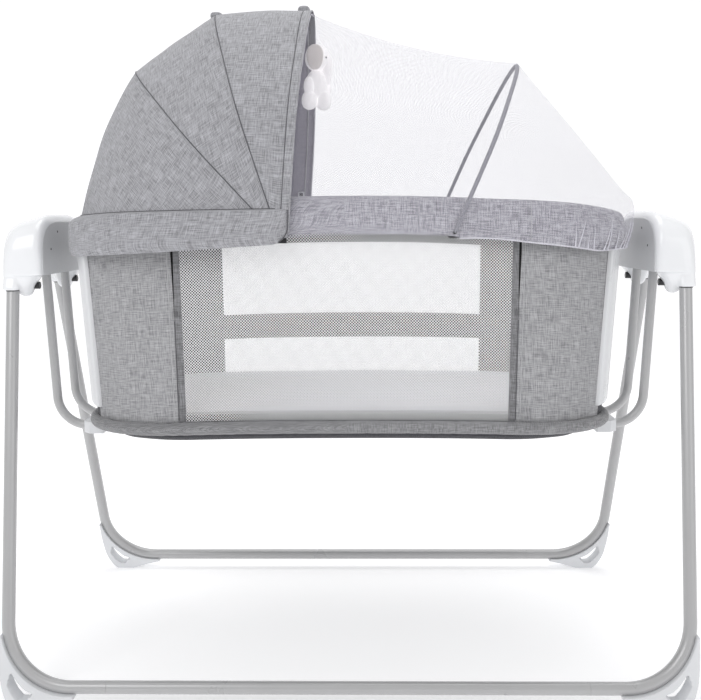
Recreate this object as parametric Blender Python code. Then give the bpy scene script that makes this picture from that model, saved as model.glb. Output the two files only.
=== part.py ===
"""Electric swing bassinet: a fabric cradle hung by four bent arms from two housings on a tube stand.

The cradle swings sideways in the housings. A three-bow canopy folds back at the head end, and a net on
a hinged hoop covers the foot end. Metres, +Z up, origin on the floor under the middle, the long side
along X, left is -X, front is -Y.
"""

import math

import bmesh
import bpy
from mathutils import Vector

# Clearances
GAP = 0.0003
RUN_GAP = 0.0005
CUT_OVERRUN = 0.004

# Main sizes
PIVOT_HEIGHT = 0.752
HOUSING_INNER_X = 0.543
RIM_CLEARANCE = 0.063
RIM_HALF_LENGTH = HOUSING_INNER_X - RIM_CLEARANCE
RIM_HALF_WIDTH = 0.2435
CORNER_RADIUS = 0.180
CRADLE_HANG = 0.304
BASKET_HEIGHT = 0.384
STAND_HALF_DEPTH = 0.328

# Housings at the two ends
HOUSING_WIDTH = 0.063
HOUSING_HALF_LENGTH = 0.146
HOUSING_RISE = 0.054
HOUSING_DROP = 0.052
HOUSING_WALL = 0.003
HOUSING_TOP_FALL = 0.019
HOUSING_EDGE = 0.011
HOUSING_CAVITY_MARGIN = 0.050
COVER_THICKNESS = 0.0027
COLLAR_WIDTH = 0.030
COLLAR_DROP = 0.032
COLLAR_LENGTH = 0.036
LOBE_OUT = 0.0265
LOBE_RADIUS = 0.009
LOBE_DROP = 0.037
LOBE_HALF_LENGTH = 0.0145
SCREW_RADIUS = 0.0022
HOUSING_OUTER_X = HOUSING_INNER_X + HOUSING_WIDTH
HOUSING_BOTTOM = PIVOT_HEIGHT - HOUSING_DROP
HOUSING_TOP = PIVOT_HEIGHT + HOUSING_RISE
HOUSING_CAVITY_HALF = HOUSING_HALF_LENGTH - HOUSING_CAVITY_MARGIN
COLLAR_INNER_X = HOUSING_OUTER_X - COLLAR_WIDTH
COLLAR_BOTTOM = HOUSING_BOTTOM - COLLAR_DROP
LOBE_X = HOUSING_INNER_X + LOBE_OUT
LOBE_HEIGHT = HOUSING_BOTTOM - LOBE_DROP

# Stand tubes
TUBE_RADIUS = 0.011
TUBE_WALL = 0.0016
RAIL_AXIS_HEIGHT = 0.031
LEG_TOP_INSET = 0.014
LEG_LEAN_X = 0.0305
LEG_TOP_HALF_DEPTH = HOUSING_HALF_LENGTH - TUBE_RADIUS * 2
LEG_BEND_RADIUS = 0.110
RAIL_JOINT_INSET = 0.1655
SPIGOT_LENGTH = 0.030
LEG_TOP_X = HOUSING_OUTER_X - LEG_TOP_INSET
LEG_FOOT_X = LEG_TOP_X - LEG_LEAN_X
LEG_TOP_HEIGHT = HOUSING_BOTTOM
RAIL_JOINT_X = LEG_FOOT_X - RAIL_JOINT_INSET

# Feet
FOOT_THICKNESS = 0.032
FOOT_OVERHANG = 0.012
FOOT_TOP_RISE = 0.081
FOOT_LENGTH = 0.1275
FOOT_PAD_HALF_WIDTH = 0.024
FOOT_PAD_INSET = 0.0305
FOOT_WEB = 0.010
FOOT_OUTER_X = LEG_FOOT_X + FOOT_OVERHANG
FOOT_TOP_HEIGHT = RAIL_AXIS_HEIGHT + FOOT_TOP_RISE
FOOT_TAIL_X = FOOT_OUTER_X - FOOT_LENGTH
FOOT_PAD_X = LEG_FOOT_X - FOOT_PAD_INSET

# Swing pivot, hangers and arms
PIVOT_RADIUS = 0.006
HANGER_THICKNESS = 0.020
HANGER_HALF_LENGTH = 0.068
HANGER_DROP = 0.040
HANGER_RISE = 0.014
HANGER_SHOULDER_DROP = 0.017
ARM_RADIUS = 0.0083
ARM_HALF_SPREAD = 0.055
ARM_TOP_INSET = 0.0145
ARM_LEAN_X = 0.015
ARM_BEND_RADIUS = 0.056
ARM_DROP = 0.0322
HANGER_BOTTOM = PIVOT_HEIGHT - HANGER_DROP
HANGER_TOP = PIVOT_HEIGHT + HANGER_RISE
HANGER_SHOULDER = PIVOT_HEIGHT - HANGER_SHOULDER_DROP
ARM_TOP_X = HOUSING_INNER_X + ARM_TOP_INSET
ARM_CORNER_X = ARM_TOP_X - ARM_LEAN_X
ARM_TOP_HEIGHT = HANGER_SHOULDER

# Control panel, buttons and drive in the left housing
PANEL_HALF_LENGTH = 0.050
PANEL_FLAT_HALF = 0.030
PANEL_INSET = 0.009
PANEL_WIDTH = 0.030
PANEL_THICKNESS = 0.0022
BUTTON_RADIUS = 0.0060
BUTTON_PROUD = 0.0012
BUTTON_TRAVEL = 0.0012
BUTTON_WELL = 0.0040
BUTTON_PITCH = 0.022
RELEASE_RADIUS = 0.0065
RELEASE_LENGTH = 0.017
RELEASE_PROUD = 0.012
RELEASE_TRAVEL = 0.003
RELEASE_INSET = 0.0335
RELEASE_DROP = 0.0185
DRIVE_GAP = 0.0037
DRIVE_WIDTH = 0.020
DRIVE_START_Y = 0.022
DRIVE_LENGTH = 0.046
DRIVE_HEIGHT = 0.026
INLET_RADIUS = 0.0055
INLET_LENGTH = 0.014
INLET_Y = -0.040
INLET_RISE = 0.022
PANEL_INNER_X = HOUSING_INNER_X + PANEL_INSET
PANEL_OUTER_X = PANEL_INNER_X + PANEL_WIDTH
RELEASE_INNER_X = LOBE_X - LOBE_RADIUS - RELEASE_PROUD
RELEASE_OUTER_X = RELEASE_INNER_X + RELEASE_LENGTH
RELEASE_Y = HOUSING_HALF_LENGTH - RELEASE_INSET
RELEASE_HEIGHT = HOUSING_BOTTOM - RELEASE_DROP
LOBE_INNER_Y = RELEASE_Y - LOBE_HALF_LENGTH
LOBE_OUTER_Y = RELEASE_Y + LOBE_HALF_LENGTH
INLET_HEIGHT = HOUSING_BOTTOM + INLET_RISE
DRIVE_INNER_X = ARM_TOP_X + HANGER_THICKNESS / 2 + DRIVE_GAP

# Cradle bottom frame, floor and mattress
RING_INSET_X = 0.014
RING_INSET_Y = 0.0075
RING_TUBE_RADIUS = 0.0080
RING_SLEEVE_WALL = 0.0027
RING_END_DROP = 0.010
FLOOR_DROP = 0.026
FLOOR_RISE = 0.0055
FLOOR_EDGE_RISE = 0.007
FLOOR_EDGE_INSET = 0.018
MATTRESS_THICKNESS = 0.032
MATTRESS_INSET_X = 0.042
MATTRESS_INSET_Y = 0.039
MATTRESS_CORNER = 0.100
MATTRESS_CROWN = 0.004
MATTRESS_EDGE = 0.004
CLIP_WIDTH = 0.0384
CLIP_OVERHANG = 0.027
CLIP_HALF_LENGTH = 0.082
CLIP_DROP = 0.0435
ARM_END_REACH = 0.004
RING_HALF_LENGTH = RIM_HALF_LENGTH - RING_INSET_X
RING_HALF_WIDTH = RIM_HALF_WIDTH - RING_INSET_Y
RING_HEIGHT = PIVOT_HEIGHT - CRADLE_HANG
FLOOR_BOTTOM = RING_HEIGHT - FLOOR_DROP
FLOOR_TOP = RING_HEIGHT + FLOOR_RISE
MATTRESS_HALF_LENGTH = RING_HALF_LENGTH - MATTRESS_INSET_X
MATTRESS_HALF_WIDTH = RING_HALF_WIDTH - MATTRESS_INSET_Y
CLIP_OUTER_X = RING_HALF_LENGTH + CLIP_OVERHANG
CLIP_INNER_X = CLIP_OUTER_X - CLIP_WIDTH
CLIP_BOTTOM = RING_HEIGHT - CLIP_DROP
ARM_LOW_HEIGHT = RING_HEIGHT - ARM_DROP
ARM_END_X = RING_HALF_LENGTH + ARM_END_REACH

# Cradle rim and walls
RIM_TUBE_RADIUS = 0.0090
RIM_END_DROP = 0.036
SKIRT_THICKNESS = 0.003
SKIRT_HEIGHT = 0.060
SKIRT_END_GROWTH = 0.010
SKIRT_INNER_HEIGHT = 0.030
WALL_THICKNESS = 0.003
PLATE_THICKNESS = 0.006
PLATE_RIM_LEAN = 0.0025
LUG_THICKNESS = 0.004
LUG_HALF_WIDTH = 0.010
LUG_REACH = 0.009
WINDOW_INSET = 0.208
WINDOW_RISE = 0.018
WINDOW_TOP_DROP = 0.052
BAND_RISE = 0.099
BAND_HEIGHT = 0.052
NETTING_THICKNESS = 0.0012
SLIDER_RISE = 0.192
SLIDER_OUT = 0.0095
SLIDER_CLEARANCE = 0.0006
SLIDER_LENGTH = 0.014
SLIDER_WIDTH = 0.007
SLIDER_THICKNESS = 0.003
RIM_TOP = RING_HEIGHT + BASKET_HEIGHT
WINDOW_HALF_LENGTH = RIM_HALF_LENGTH - WINDOW_INSET
WINDOW_BOTTOM = RING_HEIGHT + WINDOW_RISE
WINDOW_TOP = RIM_TOP - WINDOW_TOP_DROP
BAND_BOTTOM = RING_HEIGHT + BAND_RISE
BAND_TOP = BAND_BOTTOM + BAND_HEIGHT
SLIDER_HEIGHT = RING_HEIGHT + SLIDER_RISE
SLIDER_X = WINDOW_HALF_LENGTH + SLIDER_OUT

# Canopy: each bow's top is given from the pivot, forward and up
CANOPY_PIVOT_INSET = 0.375
CANOPY_PIVOT_DROP = 0.067
PIN_RADIUS = 0.0030
BOW_RADIUS = 0.0013
BOW_PITCH = 0.003
BOW_CLEARANCE = 0.0067
BOW_EYE_RADIUS = 0.0062
REAR_BOW_REACH = (-0.277, 0.281)
MIDDLE_BOW_REACH = (-0.131, 0.385)
FRONT_BOW_REACH = (0.049, 0.383)
CANOPY_END_DROP = 0.0182
CANOPY_END_TOP_DROP = 0.0305
CANOPY_END_OVERHANG = 0.017
CANOPY_FABRIC_GAP = 0.0018
CANOPY_FABRIC_THICKNESS = 0.0015
CANOPY_SAG = 0.008
CANOPY_SKIN_LIFT = 0.004
VALANCE_THICKNESS = 0.003
VALANCE_DROP = 0.0235
VALANCE_HEIGHT = 0.0515
VALANCE_BOTTOM_FALL = 0.017
VALANCE_HUB_OFFSET = 0.029
VALANCE_END_OFFSET = 0.0145
VALANCE_BLEND_LENGTH = 0.140
VALANCE_FRONT_REACH = 0.013
CANOPY_PIVOT_X = CANOPY_PIVOT_INSET - RIM_HALF_LENGTH
CANOPY_PIVOT_HEIGHT = RIM_TOP - CANOPY_PIVOT_DROP
CANOPY_END_HEIGHT = RIM_TOP - CANOPY_END_DROP
CANOPY_END_TOP_HEIGHT = RIM_TOP - CANOPY_END_TOP_DROP
CANOPY_END_TOP_X = -RIM_HALF_LENGTH - CANOPY_END_OVERHANG
CANOPY_END_BASE_X = CORNER_RADIUS - RIM_HALF_LENGTH
VALANCE_TOP = RIM_TOP - VALANCE_DROP
VALANCE_BOTTOM = VALANCE_TOP - VALANCE_HEIGHT
VALANCE_HUB_X = RIM_HALF_LENGTH - CORNER_RADIUS
VALANCE_BLEND_X = VALANCE_HUB_X + VALANCE_BLEND_LENGTH
VALANCE_FRONT_X = -CANOPY_PIVOT_X - VALANCE_FRONT_REACH

# Net and its hoop
HOOP_PIVOT_INSET = 0.303
HOOP_PIVOT_DROP = 0.060
HOOP_RADIUS = 0.0034
HOOP_CLEARANCE = 0.0082
HOOP_REACH = (0.129, 0.294)
NET_EDGE_OFFSET = 0.012
NET_EDGE_RADIUS = 0.0014
NET_THICKNESS = 0.0012
NET_CLEARANCE = 0.0144
NET_LIFT = 0.006
NET_SAG = 0.016
NET_EDGE_GAP = 0.0006
NET_END_OVERHANG = 0.0255
NET_END_DROP = 0.070
NET_END_BASE_INSET = 0.120
NET_SHOULDER_INSET = 0.0055
NET_SHOULDER_RISE = 0.073
NET_SHOULDER_BASE_INSET = 0.150
HOOP_PIVOT_X = RIM_HALF_LENGTH - HOOP_PIVOT_INSET
HOOP_PIVOT_HEIGHT = RIM_TOP - HOOP_PIVOT_DROP
NET_END_TOP_X = RIM_HALF_LENGTH + NET_END_OVERHANG
NET_END_BASE_X = RIM_HALF_LENGTH - NET_END_BASE_INSET
NET_END_HEIGHT = RIM_TOP - NET_END_DROP
NET_SHOULDER_BASE = (RIM_HALF_LENGTH - NET_SHOULDER_BASE_INSET, NET_END_HEIGHT)
NET_SHOULDER_TOP = (NET_END_TOP_X - NET_SHOULDER_INSET, NET_END_HEIGHT + NET_SHOULDER_RISE)

# Hanging toy
TOY_STRAP_WIDTH = 0.007
TOY_STRAP_THICKNESS = 0.0018
TOY_HEAD_DROP = 0.062
TOY_HEAD_SIZE = (0.0195, 0.0175, 0.0200)
TOY_TRUNK_SIZE = (0.0070, 0.0065, 0.0200)
TOY_TRUNK_PLACE = (0.0185, 0.0, -0.0120)
TOY_EAR_SIZE = (0.0120, 0.0050, 0.0170)
TOY_EAR_PLACE = (-0.0060, 0.0165, 0.0010)
TOY_BODY_DROP = 0.050
TOY_BODY_SIZE = (0.0190, 0.0180, 0.0300)
TOY_ARM_SIZE = (0.0085, 0.0080, 0.0170)
TOY_ARM_PLACE = (0.0080, 0.0170, 0.0080)
TOY_LEG_SIZE = (0.0095, 0.0090, 0.0170)
TOY_LEG_PLACE = (0.0040, 0.0110, -0.0270)

# Mesh fineness
LEG_SIDES = 10
WIRE_SIDES = 8
BEND_STEPS = 6
CORNER_STEPS = 6
SIDE_STEPS = 4
SIDE_LAP_STEPS = 1
RING_SIDES = 8
STRAIGHT_STEPS = 3
ARCH_STEPS = 16

# Shares, powers and angles
ARCH_POWER_SHARE = 3.0
ROUND_HEIGHT_SHARE = 0.40
ROUND_HEIGHT_SPAN_SHARE = 0.40
ROUND_LEAN_SHARE = 0.40
ROUND_LEAN_SPAN_SHARE = 0.30
DROP_POWER_SHARE = 2.4
VALANCE_DROP_SHARE = 0.36
FOOT_OUTER_SHARE = 0.35
HOOD_SHARES = ((1.0, 0.0), (0.985, 0.35), (0.93, 0.62), (0.80, 0.86), (0.52, 0.965), (0.20, 1.0))
TOLERANCE_SHARE = 1e-9
SHARP_ANGLE = math.radians(35)
CAVITY_BACK_SHARE = 1.5
LUG_FACE_SHARE = 0.9
VALANCE_BULGE_SHARE = 1.6
CROWN_POWER_SHARE = 4.0
SLEEVE_SLIT_START = math.radians(-120)
SLEEVE_SLIT_SWEEP = math.radians(310)
CROWN_SHARES = (0.92, 0.70, 0.38, 0.0, -0.38, -0.70, -0.92)
TOY_TAPER_SHARE = 0.35

LEAN = math.atan2(STAND_HALF_DEPTH - LEG_TOP_HALF_DEPTH, LEG_TOP_HEIGHT - RAIL_AXIS_HEIGHT)
SIDES = (("left", -1), ("right", 1))
ENDS = (("front", -1), ("rear", 1))
RING_SLEEVE_RADIUS = RING_TUBE_RADIUS + GAP + RING_SLEEVE_WALL
CANOPY_PIVOT = (CANOPY_PIVOT_X, CANOPY_PIVOT_HEIGHT)
REAR_BOW_TOP = tuple(a + b for a, b in zip(CANOPY_PIVOT, REAR_BOW_REACH))
MIDDLE_BOW_TOP = tuple(a + b for a, b in zip(CANOPY_PIVOT, MIDDLE_BOW_REACH))
FRONT_BOW_TOP = tuple(a + b for a, b in zip(CANOPY_PIVOT, FRONT_BOW_REACH))
HOOP_PIVOT = (HOOP_PIVOT_X, HOOP_PIVOT_HEIGHT)
HOOP_TOP = tuple(a + b for a, b in zip(HOOP_PIVOT, HOOP_REACH))
RIM_TUBE_HEIGHT = RIM_TOP - SKIRT_THICKNESS - GAP - RIM_TUBE_RADIUS
SKIRT_INSIDE = RIM_TUBE_RADIUS + GAP
SKIRT_OUTSIDE = SKIRT_INSIDE + SKIRT_THICKNESS
SKIRT_FACE = RIM_HALF_WIDTH + SKIRT_OUTSIDE
FRONT_BOW_HALF_WIDTH = SKIRT_FACE + BOW_CLEARANCE
HOOP_HALF_WIDTH = SKIRT_FACE + HOOP_CLEARANCE
NET_HALF_WIDTH = SKIRT_FACE + NET_CLEARANCE
PIN_END = FRONT_BOW_HALF_WIDTH + 2 * BOW_PITCH + BOW_PITCH / 2
WALL_TOP = RIM_TOP - SKIRT_OUTSIDE - RIM_TUBE_RADIUS - GAP
WALL_BOTTOM = RING_HEIGHT + math.sqrt(RING_SLEEVE_RADIUS**2 - (PLATE_THICKNESS + GAP) ** 2) + GAP
PLATE_BOTTOM = RING_HEIGHT + RING_SLEEVE_RADIUS + GAP

# Plan path stations: 0 front middle, 1 to 2 right front corner, 3 right end, 4 to 5 right rear corner,
# 6 rear middle, 7 to 8 left rear corner, 9 left end, 10 to 11 left front corner, 12 front middle again
PATH_LENGTH = 12


def clear_scene():
    for obj in list(bpy.data.objects):
        bpy.data.objects.remove(obj, do_unlink=True)


def material(name, color, roughness, metallic=0.0):
    mat = bpy.data.materials.new(name)
    mat.use_nodes = True
    shader = mat.node_tree.nodes["Principled BSDF"]
    shader.inputs["Base Color"].default_value = (*color, 1.0)
    shader.inputs["Roughness"].default_value = roughness
    shader.inputs["Metallic"].default_value = metallic
    mat.diffuse_color = (*color, 1.0)
    return mat


def pivot(name, place, parent=None):
    """An empty on a joint's axis, which carries the pieces that turn or slide with it."""
    empty = bpy.data.objects.new(name, None)
    bpy.context.scene.collection.objects.link(empty)
    empty.location = Vector(place)
    if parent:
        empty.parent = parent
        empty.location = Vector(place) - Vector(parent["place"])
    empty["place"] = tuple(place)
    return empty


def solid(name, points, faces, mat, carrier=None):
    """A closed mesh object from world points, with its faces turned outwards, hung on its carrier."""
    origin = Vector(carrier["place"]) if carrier else Vector((0, 0, 0))
    mesh = bpy.data.meshes.new(name)
    mesh.from_pydata([Vector(p) - origin for p in points], [], faces)
    work = bmesh.new()
    work.from_mesh(mesh)
    bmesh.ops.recalc_face_normals(work, faces=work.faces)
    work.to_mesh(mesh)
    work.free()
    obj = bpy.data.objects.new(name, mesh)
    bpy.context.scene.collection.objects.link(obj)
    mesh.shade_smooth()
    mesh.set_sharp_from_angle(angle=SHARP_ANGLE)
    if mat:
        mesh.materials.append(mat)
    if carrier:
        obj.parent = carrier
    return obj


def boolean(obj, other, operation="DIFFERENCE"):
    """Cuts or joins with another object, at once, and removes the other."""
    modifier = obj.modifiers.new(operation.lower(), "BOOLEAN")
    modifier.operation = operation
    modifier.object = other
    modifier.solver = "EXACT"
    bpy.context.view_layer.update()
    depsgraph = bpy.context.evaluated_depsgraph_get()
    result = bpy.data.meshes.new_from_object(obj.evaluated_get(depsgraph))
    obj.modifiers.clear()
    materials = list(obj.data.materials)
    obj.data = result
    result.materials.clear()
    for mat in materials[:1]:
        result.materials.append(mat)
    result.polygons.foreach_set("material_index", [0] * len(result.polygons))
    result.shade_smooth()
    result.set_sharp_from_angle(angle=SHARP_ANGLE)
    bpy.data.objects.remove(other, do_unlink=True)
    return obj


def grid_solid(name, rows, mat, carrier=None, closed_rows=True, closed_path=False):
    """Joins rows of points into one skin: each row is a closed profile, rows follow a path."""
    count = len(rows[0])
    points = [p for row in rows for p in row]
    faces = []
    steps = len(rows) if closed_path else len(rows) - 1
    for i in range(steps):
        low = i * count
        high = (i + 1) % len(rows) * count
        for j in range(count if closed_rows else count - 1):
            k = (j + 1) % count
            faces.append((low + j, low + k, high + k, high + j))
    if not closed_path:
        faces.append(tuple(range(count)))
        faces.append(tuple(range(len(points) - count, len(points))))
    return solid(name, points, faces, mat, carrier)


def rounded_path(corners, radius, steps=BEND_STEPS):
    """The corner points with each inner corner turned into an arc of the radius."""
    corners = [Vector(c) for c in corners]
    path = [corners[0]]
    for before, here, after in zip(corners, corners[1:], corners[2:]):
        back = (before - here).normalized()
        on = (after - here).normalized()
        half = back.angle(on) / 2
        reach = radius / math.tan(half)
        centre = here + (back + on).normalized() * (radius / math.sin(half))
        start = here + back * reach - centre
        end = here + on * reach - centre
        sweep = start.angle(end)
        for i in range(steps + 1):
            part = i / steps
            turn = start * math.sin((1 - part) * sweep) + end * math.sin(part * sweep)
            path.append(centre + turn / math.sin(sweep))
    path.append(corners[-1])
    return path


def tube(name, path, radius, mat, carrier=None, sides=LEG_SIDES):
    """A round bar along the path, its rings square to the bisector at each point."""
    path = [Vector(p) for p in path]
    rows = []
    along = (path[1] - path[0]).normalized()
    across = along.orthogonal().normalized()
    for i, here in enumerate(path):
        before = (here - path[i - 1]).normalized() if i else along
        after = (path[i + 1] - here).normalized() if i + 1 < len(path) else before
        tangent = (before + after).normalized()
        across = (across - tangent * across.dot(tangent)).normalized()
        side = tangent.cross(across)
        angles = [2 * math.pi * j / sides for j in range(sides)]
        rows.append([here + (across * math.cos(a) + side * math.sin(a)) * radius for a in angles])
    return grid_solid(name, rows, mat, carrier)


def prism(name, outline, low, high, axis, mat, carrier=None):
    """An outline pushed along an axis from low to high: the outline's two numbers are the other axes."""
    order = {"x": (2, 0, 1), "y": (0, 2, 1), "z": (0, 1, 2)}[axis]
    rows = []
    for level in (low, high):
        rows.append([tuple((a, b, level)[i] for i in order) for a, b in outline])
    return grid_solid(name, rows, mat, carrier)


def box(name, low, high, mat=None, carrier=None):
    outline = [(low[0], low[1]), (high[0], low[1]), (high[0], high[1]), (low[0], high[1])]
    return prism(name, outline, low[2], high[2], "z", mat, carrier)


def circle(centre, radius, sides=16):
    angles = [2 * math.pi * (i + 0.5) / sides for i in range(sides)]
    return [(centre[0] + radius * math.cos(a), centre[1] + radius * math.sin(a)) for a in angles]


def bevel_edges(obj, width, chosen):
    """Rounds the edges that the test picks, in two steps."""
    work = bmesh.new()
    work.from_mesh(obj.data)
    edges = [e for e in work.edges if chosen(e)]
    bmesh.ops.bevel(work, geom=edges, offset=width, segments=2, profile=0.5, affect="EDGES")
    work.to_mesh(obj.data)
    work.free()
    obj.data.shade_smooth()
    obj.data.set_sharp_from_angle(angle=SHARP_ANGLE)
    return obj


def plan_point(u, half_length, half_width, corner=CORNER_RADIUS):
    """A point of the rounded rectangle and its outward direction, for a station of the plan path."""
    run_x = half_length - corner
    run_y = half_width - corner
    quarter, rest = divmod(u % PATH_LENGTH, PATH_LENGTH / 4)
    if quarter in (1, 3):
        rest = PATH_LENGTH / 4 - rest
    if rest <= 1:
        x, y, nx, ny = run_x * rest, -half_width, 0.0, -1.0
    elif rest <= 2:
        turn = (rest - 1) * math.pi / 2
        nx, ny = math.sin(turn), -math.cos(turn)
        x, y = run_x + corner * nx, -run_y + corner * ny
    else:
        x, y, nx, ny = half_length, -run_y * (3 - rest), 1.0, 0.0
    if quarter in (1, 2):
        y, ny = -y, -ny
    if quarter in (2, 3):
        x, nx = -x, -nx
    return x, y, nx, ny


def stations(start, end):
    """Path stations from start to end: straight stretches and corners each get their own steps."""
    found = []
    u = start
    while u < end - TOLERANCE_SHARE:
        stretch = math.floor(u + TOLERANCE_SHARE)
        stop = min(stretch + 1, end)
        corner = stretch % 3 == 1
        count = CORNER_STEPS if corner else STRAIGHT_STEPS
        count = max(1, round(count * (stop - u)))
        found += [u + (stop - u) * i / count for i in range(count)]
        u = stop
    return found + [end]


def loop_stations():
    return stations(0, PATH_LENGTH)[:-1]


def straight_station(x, half_length):
    """The share of the front straight at which x lies."""
    return x / (half_length - CORNER_RADIUS)


def rim_drop(x):
    """The rim and its skirt arch: they fall from the middle to the ends."""
    return -RIM_END_DROP * abs(x / RIM_HALF_LENGTH) ** DROP_POWER_SHARE


def ring_drop(x):
    return -RING_END_DROP * abs(x / RING_HALF_LENGTH) ** DROP_POWER_SHARE


def carried(us, half_length, half_width, drop, profile):
    """Rows of a profile carried round the plan path; a profile point is (outward, height)."""
    rows = []
    for u in us:
        x, y, nx, ny = plan_point(u, half_length, half_width)
        fall = drop(x)
        rows.append([(x + nx * out, y + ny * out, z + fall) for out, z in profile(x)])
    return rows


def arc_profile(radius, height, start, sweep, steps):
    angles = [start + sweep * i / steps for i in range(steps + 1)]
    return [(radius * math.cos(a), height + radius * math.sin(a)) for a in angles]


def ramp(share):
    """Rises smoothly from 0 to 1 as the share does."""
    share = min(1.0, max(0.0, share))
    return share * share * (3 - 2 * share)


def arch(base, top, half_width, height_start_share=0.0, steps=ARCH_STEPS):
    """A bow from the front base over the top to the rear base, in a leaning plane.

    It is a superellipse near the rim, so that it clears the rim when it is folded down, and turns
    into an ellipse higher up, the more so the steeper its plane stands.
    """
    power = 2 / ARCH_POWER_SHARE
    start = math.asin(height_start_share ** (1 / power))
    reach = math.hypot(top[0] - base[0], top[1] - base[1])
    upright = ramp(((top[1] - base[1]) / reach - ROUND_LEAN_SHARE) / ROUND_LEAN_SPAN_SHARE)
    points = []
    for i in range(steps + 1):
        angle = start + (math.pi - 2 * start) * i / steps
        c, s = math.cos(angle), math.sin(angle)
        h = abs(s) ** power
        wide = abs(c) ** power
        roundness = upright * ramp((h - ROUND_HEIGHT_SHARE) / ROUND_HEIGHT_SPAN_SHARE)
        wide += (math.sqrt(max(0.0, 1 - h * h)) - wide) * roundness
        y = -half_width * math.copysign(wide, c)
        points.append((base[0] + (top[0] - base[0]) * h, y, base[1] + (top[1] - base[1]) * h))
    return points


def arch_shell(name, arches, thickness, mat, carrier):
    """A thin closed skin over a row of bows given as (base, top, half width), outside minus inside."""
    rows = []
    for base, top, half_width in arches:
        reach = math.hypot(top[0] - base[0], top[1] - base[1])
        scale = (reach - thickness) / reach
        inner_top = (base[0] + (top[0] - base[0]) * scale, base[1] + (top[1] - base[1]) * scale)
        outside = arch(base, top, half_width)
        inside = arch(base, inner_top, half_width - thickness)
        rows.append(outside + inside[::-1])
    return grid_solid(name, rows, mat, carrier)


def between(first, last, count, bend=0.0):
    """Stations between two bows, given as (base, top, half width), with the tops drawn in by a sag."""
    found = []
    for i in range(count + 1):
        t = i / count
        mix = [
            tuple(a + (b - a) * t for a, b in zip(p, q)) for p, q in zip(first[:2], last[:2])
        ]
        base, top = mix
        sag = bend * 4 * t * (1 - t)
        reach = math.hypot(top[0] - base[0], top[1] - base[1])
        scale = (reach - sag) / reach
        top = (base[0] + (top[0] - base[0]) * scale, base[1] + (top[1] - base[1]) * scale)
        found.append((base, top, first[2] + (last[2] - first[2]) * t))
    return found


def lifted(base, top, lift):
    """A bow's top pushed away from its base by a lift."""
    reach = math.hypot(top[0] - base[0], top[1] - base[1])
    scale = (reach + lift) / reach
    return (base[0] + (top[0] - base[0]) * scale, base[1] + (top[1] - base[1]) * scale)


def make_materials():
    return {
        "tube": material("grey_painted_tube", (0.42, 0.42, 0.43), 0.30, 0.3),
        "shell": material("white_gloss_plastic", (0.84, 0.84, 0.86), 0.18),
        "foot": material("white_plastic", (0.74, 0.74, 0.76), 0.35),
        "black": material("black_plastic", (0.02, 0.02, 0.02), 0.40),
        "panel": material("dark_panel", (0.05, 0.05, 0.055), 0.20),
        "steel": material("zinc_steel", (0.55, 0.55, 0.56), 0.35, 1.0),
        "fabric": material("heather_grey_fabric", (0.33, 0.33, 0.36), 0.90),
        "charcoal": material("charcoal_fabric", (0.05, 0.05, 0.055), 0.92),
        "netting": material("grey_netting", (0.45, 0.45, 0.47), 0.85),
        "white_net": material("white_net", (0.86, 0.85, 0.90), 0.80),
        "mattress": material("white_cotton", (0.83, 0.83, 0.86), 0.90),
        "plush": material("white_plush", (0.82, 0.81, 0.80), 0.95),
        "sleeve": material("grey_hoop_sleeve", (0.30, 0.30, 0.33), 0.85),
        "strap": material("dark_strap", (0.10, 0.10, 0.11), 0.90),
    }


def leg_place(x, along, side, end):
    """A point of the leaning U frame: x along the rail, then the distance up the leg from the rail."""
    depth = STAND_HALF_DEPTH - along * math.sin(LEAN)
    return (side * x, end * depth, RAIL_AXIS_HEIGHT + along * math.cos(LEAN))


def leg_path(side, end, over=0.0):
    top = (LEG_TOP_HEIGHT - RAIL_AXIS_HEIGHT) / math.cos(LEAN)
    lean_x = (LEG_TOP_X - LEG_FOOT_X) / top
    corners = [
        leg_place(RAIL_JOINT_X + GAP / 2, 0, side, end),
        leg_place(LEG_FOOT_X, 0, side, end),
        leg_place(LEG_TOP_X + lean_x * over, top + over, side, end),
    ]
    return rounded_path(corners, LEG_BEND_RADIUS)


def rail_bar(name, sections, end, mat):
    """A bar along the floor rail's axis, from (x, radius) sections."""
    middle = leg_place(0, 0, 1, end)
    angles = [2 * math.pi * i / LEG_SIDES for i in range(LEG_SIDES)]
    rows = []
    for x, radius in sections:
        ring = [(radius * math.cos(a), radius * math.sin(a)) for a in angles]
        rows.append([(x, middle[1] + y, middle[2] + z) for y, z in ring])
    return grid_solid(name, rows, mat)


def make_stand(mats):
    spigot = TUBE_RADIUS - TUBE_WALL
    reach = RAIL_JOINT_X - GAP / 2
    for end_name, end in ENDS:
        for side_name, side in SIDES:
            leg = tube(f"leg_{end_name}_{side_name}", leg_path(side, end), TUBE_RADIUS, mats["tube"])
            bore_end = RAIL_JOINT_X + SPIGOT_LENGTH + GAP
            bore = [(side * (RAIL_JOINT_X - CUT_OVERRUN), spigot + GAP), (side * bore_end, spigot + GAP)]
            boolean(leg, rail_bar("bore", bore, end, None))
            make_foot(f"foot_{end_name}_{side_name}", side, end, mats)
        half = [(reach, TUBE_RADIUS), (reach, spigot), (RAIL_JOINT_X + SPIGOT_LENGTH, spigot)]
        sections = [(-x, r) for x, r in half[::-1]] + half
        rail_bar(f"rail_{end_name}", sections, end, mats["tube"])


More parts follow.
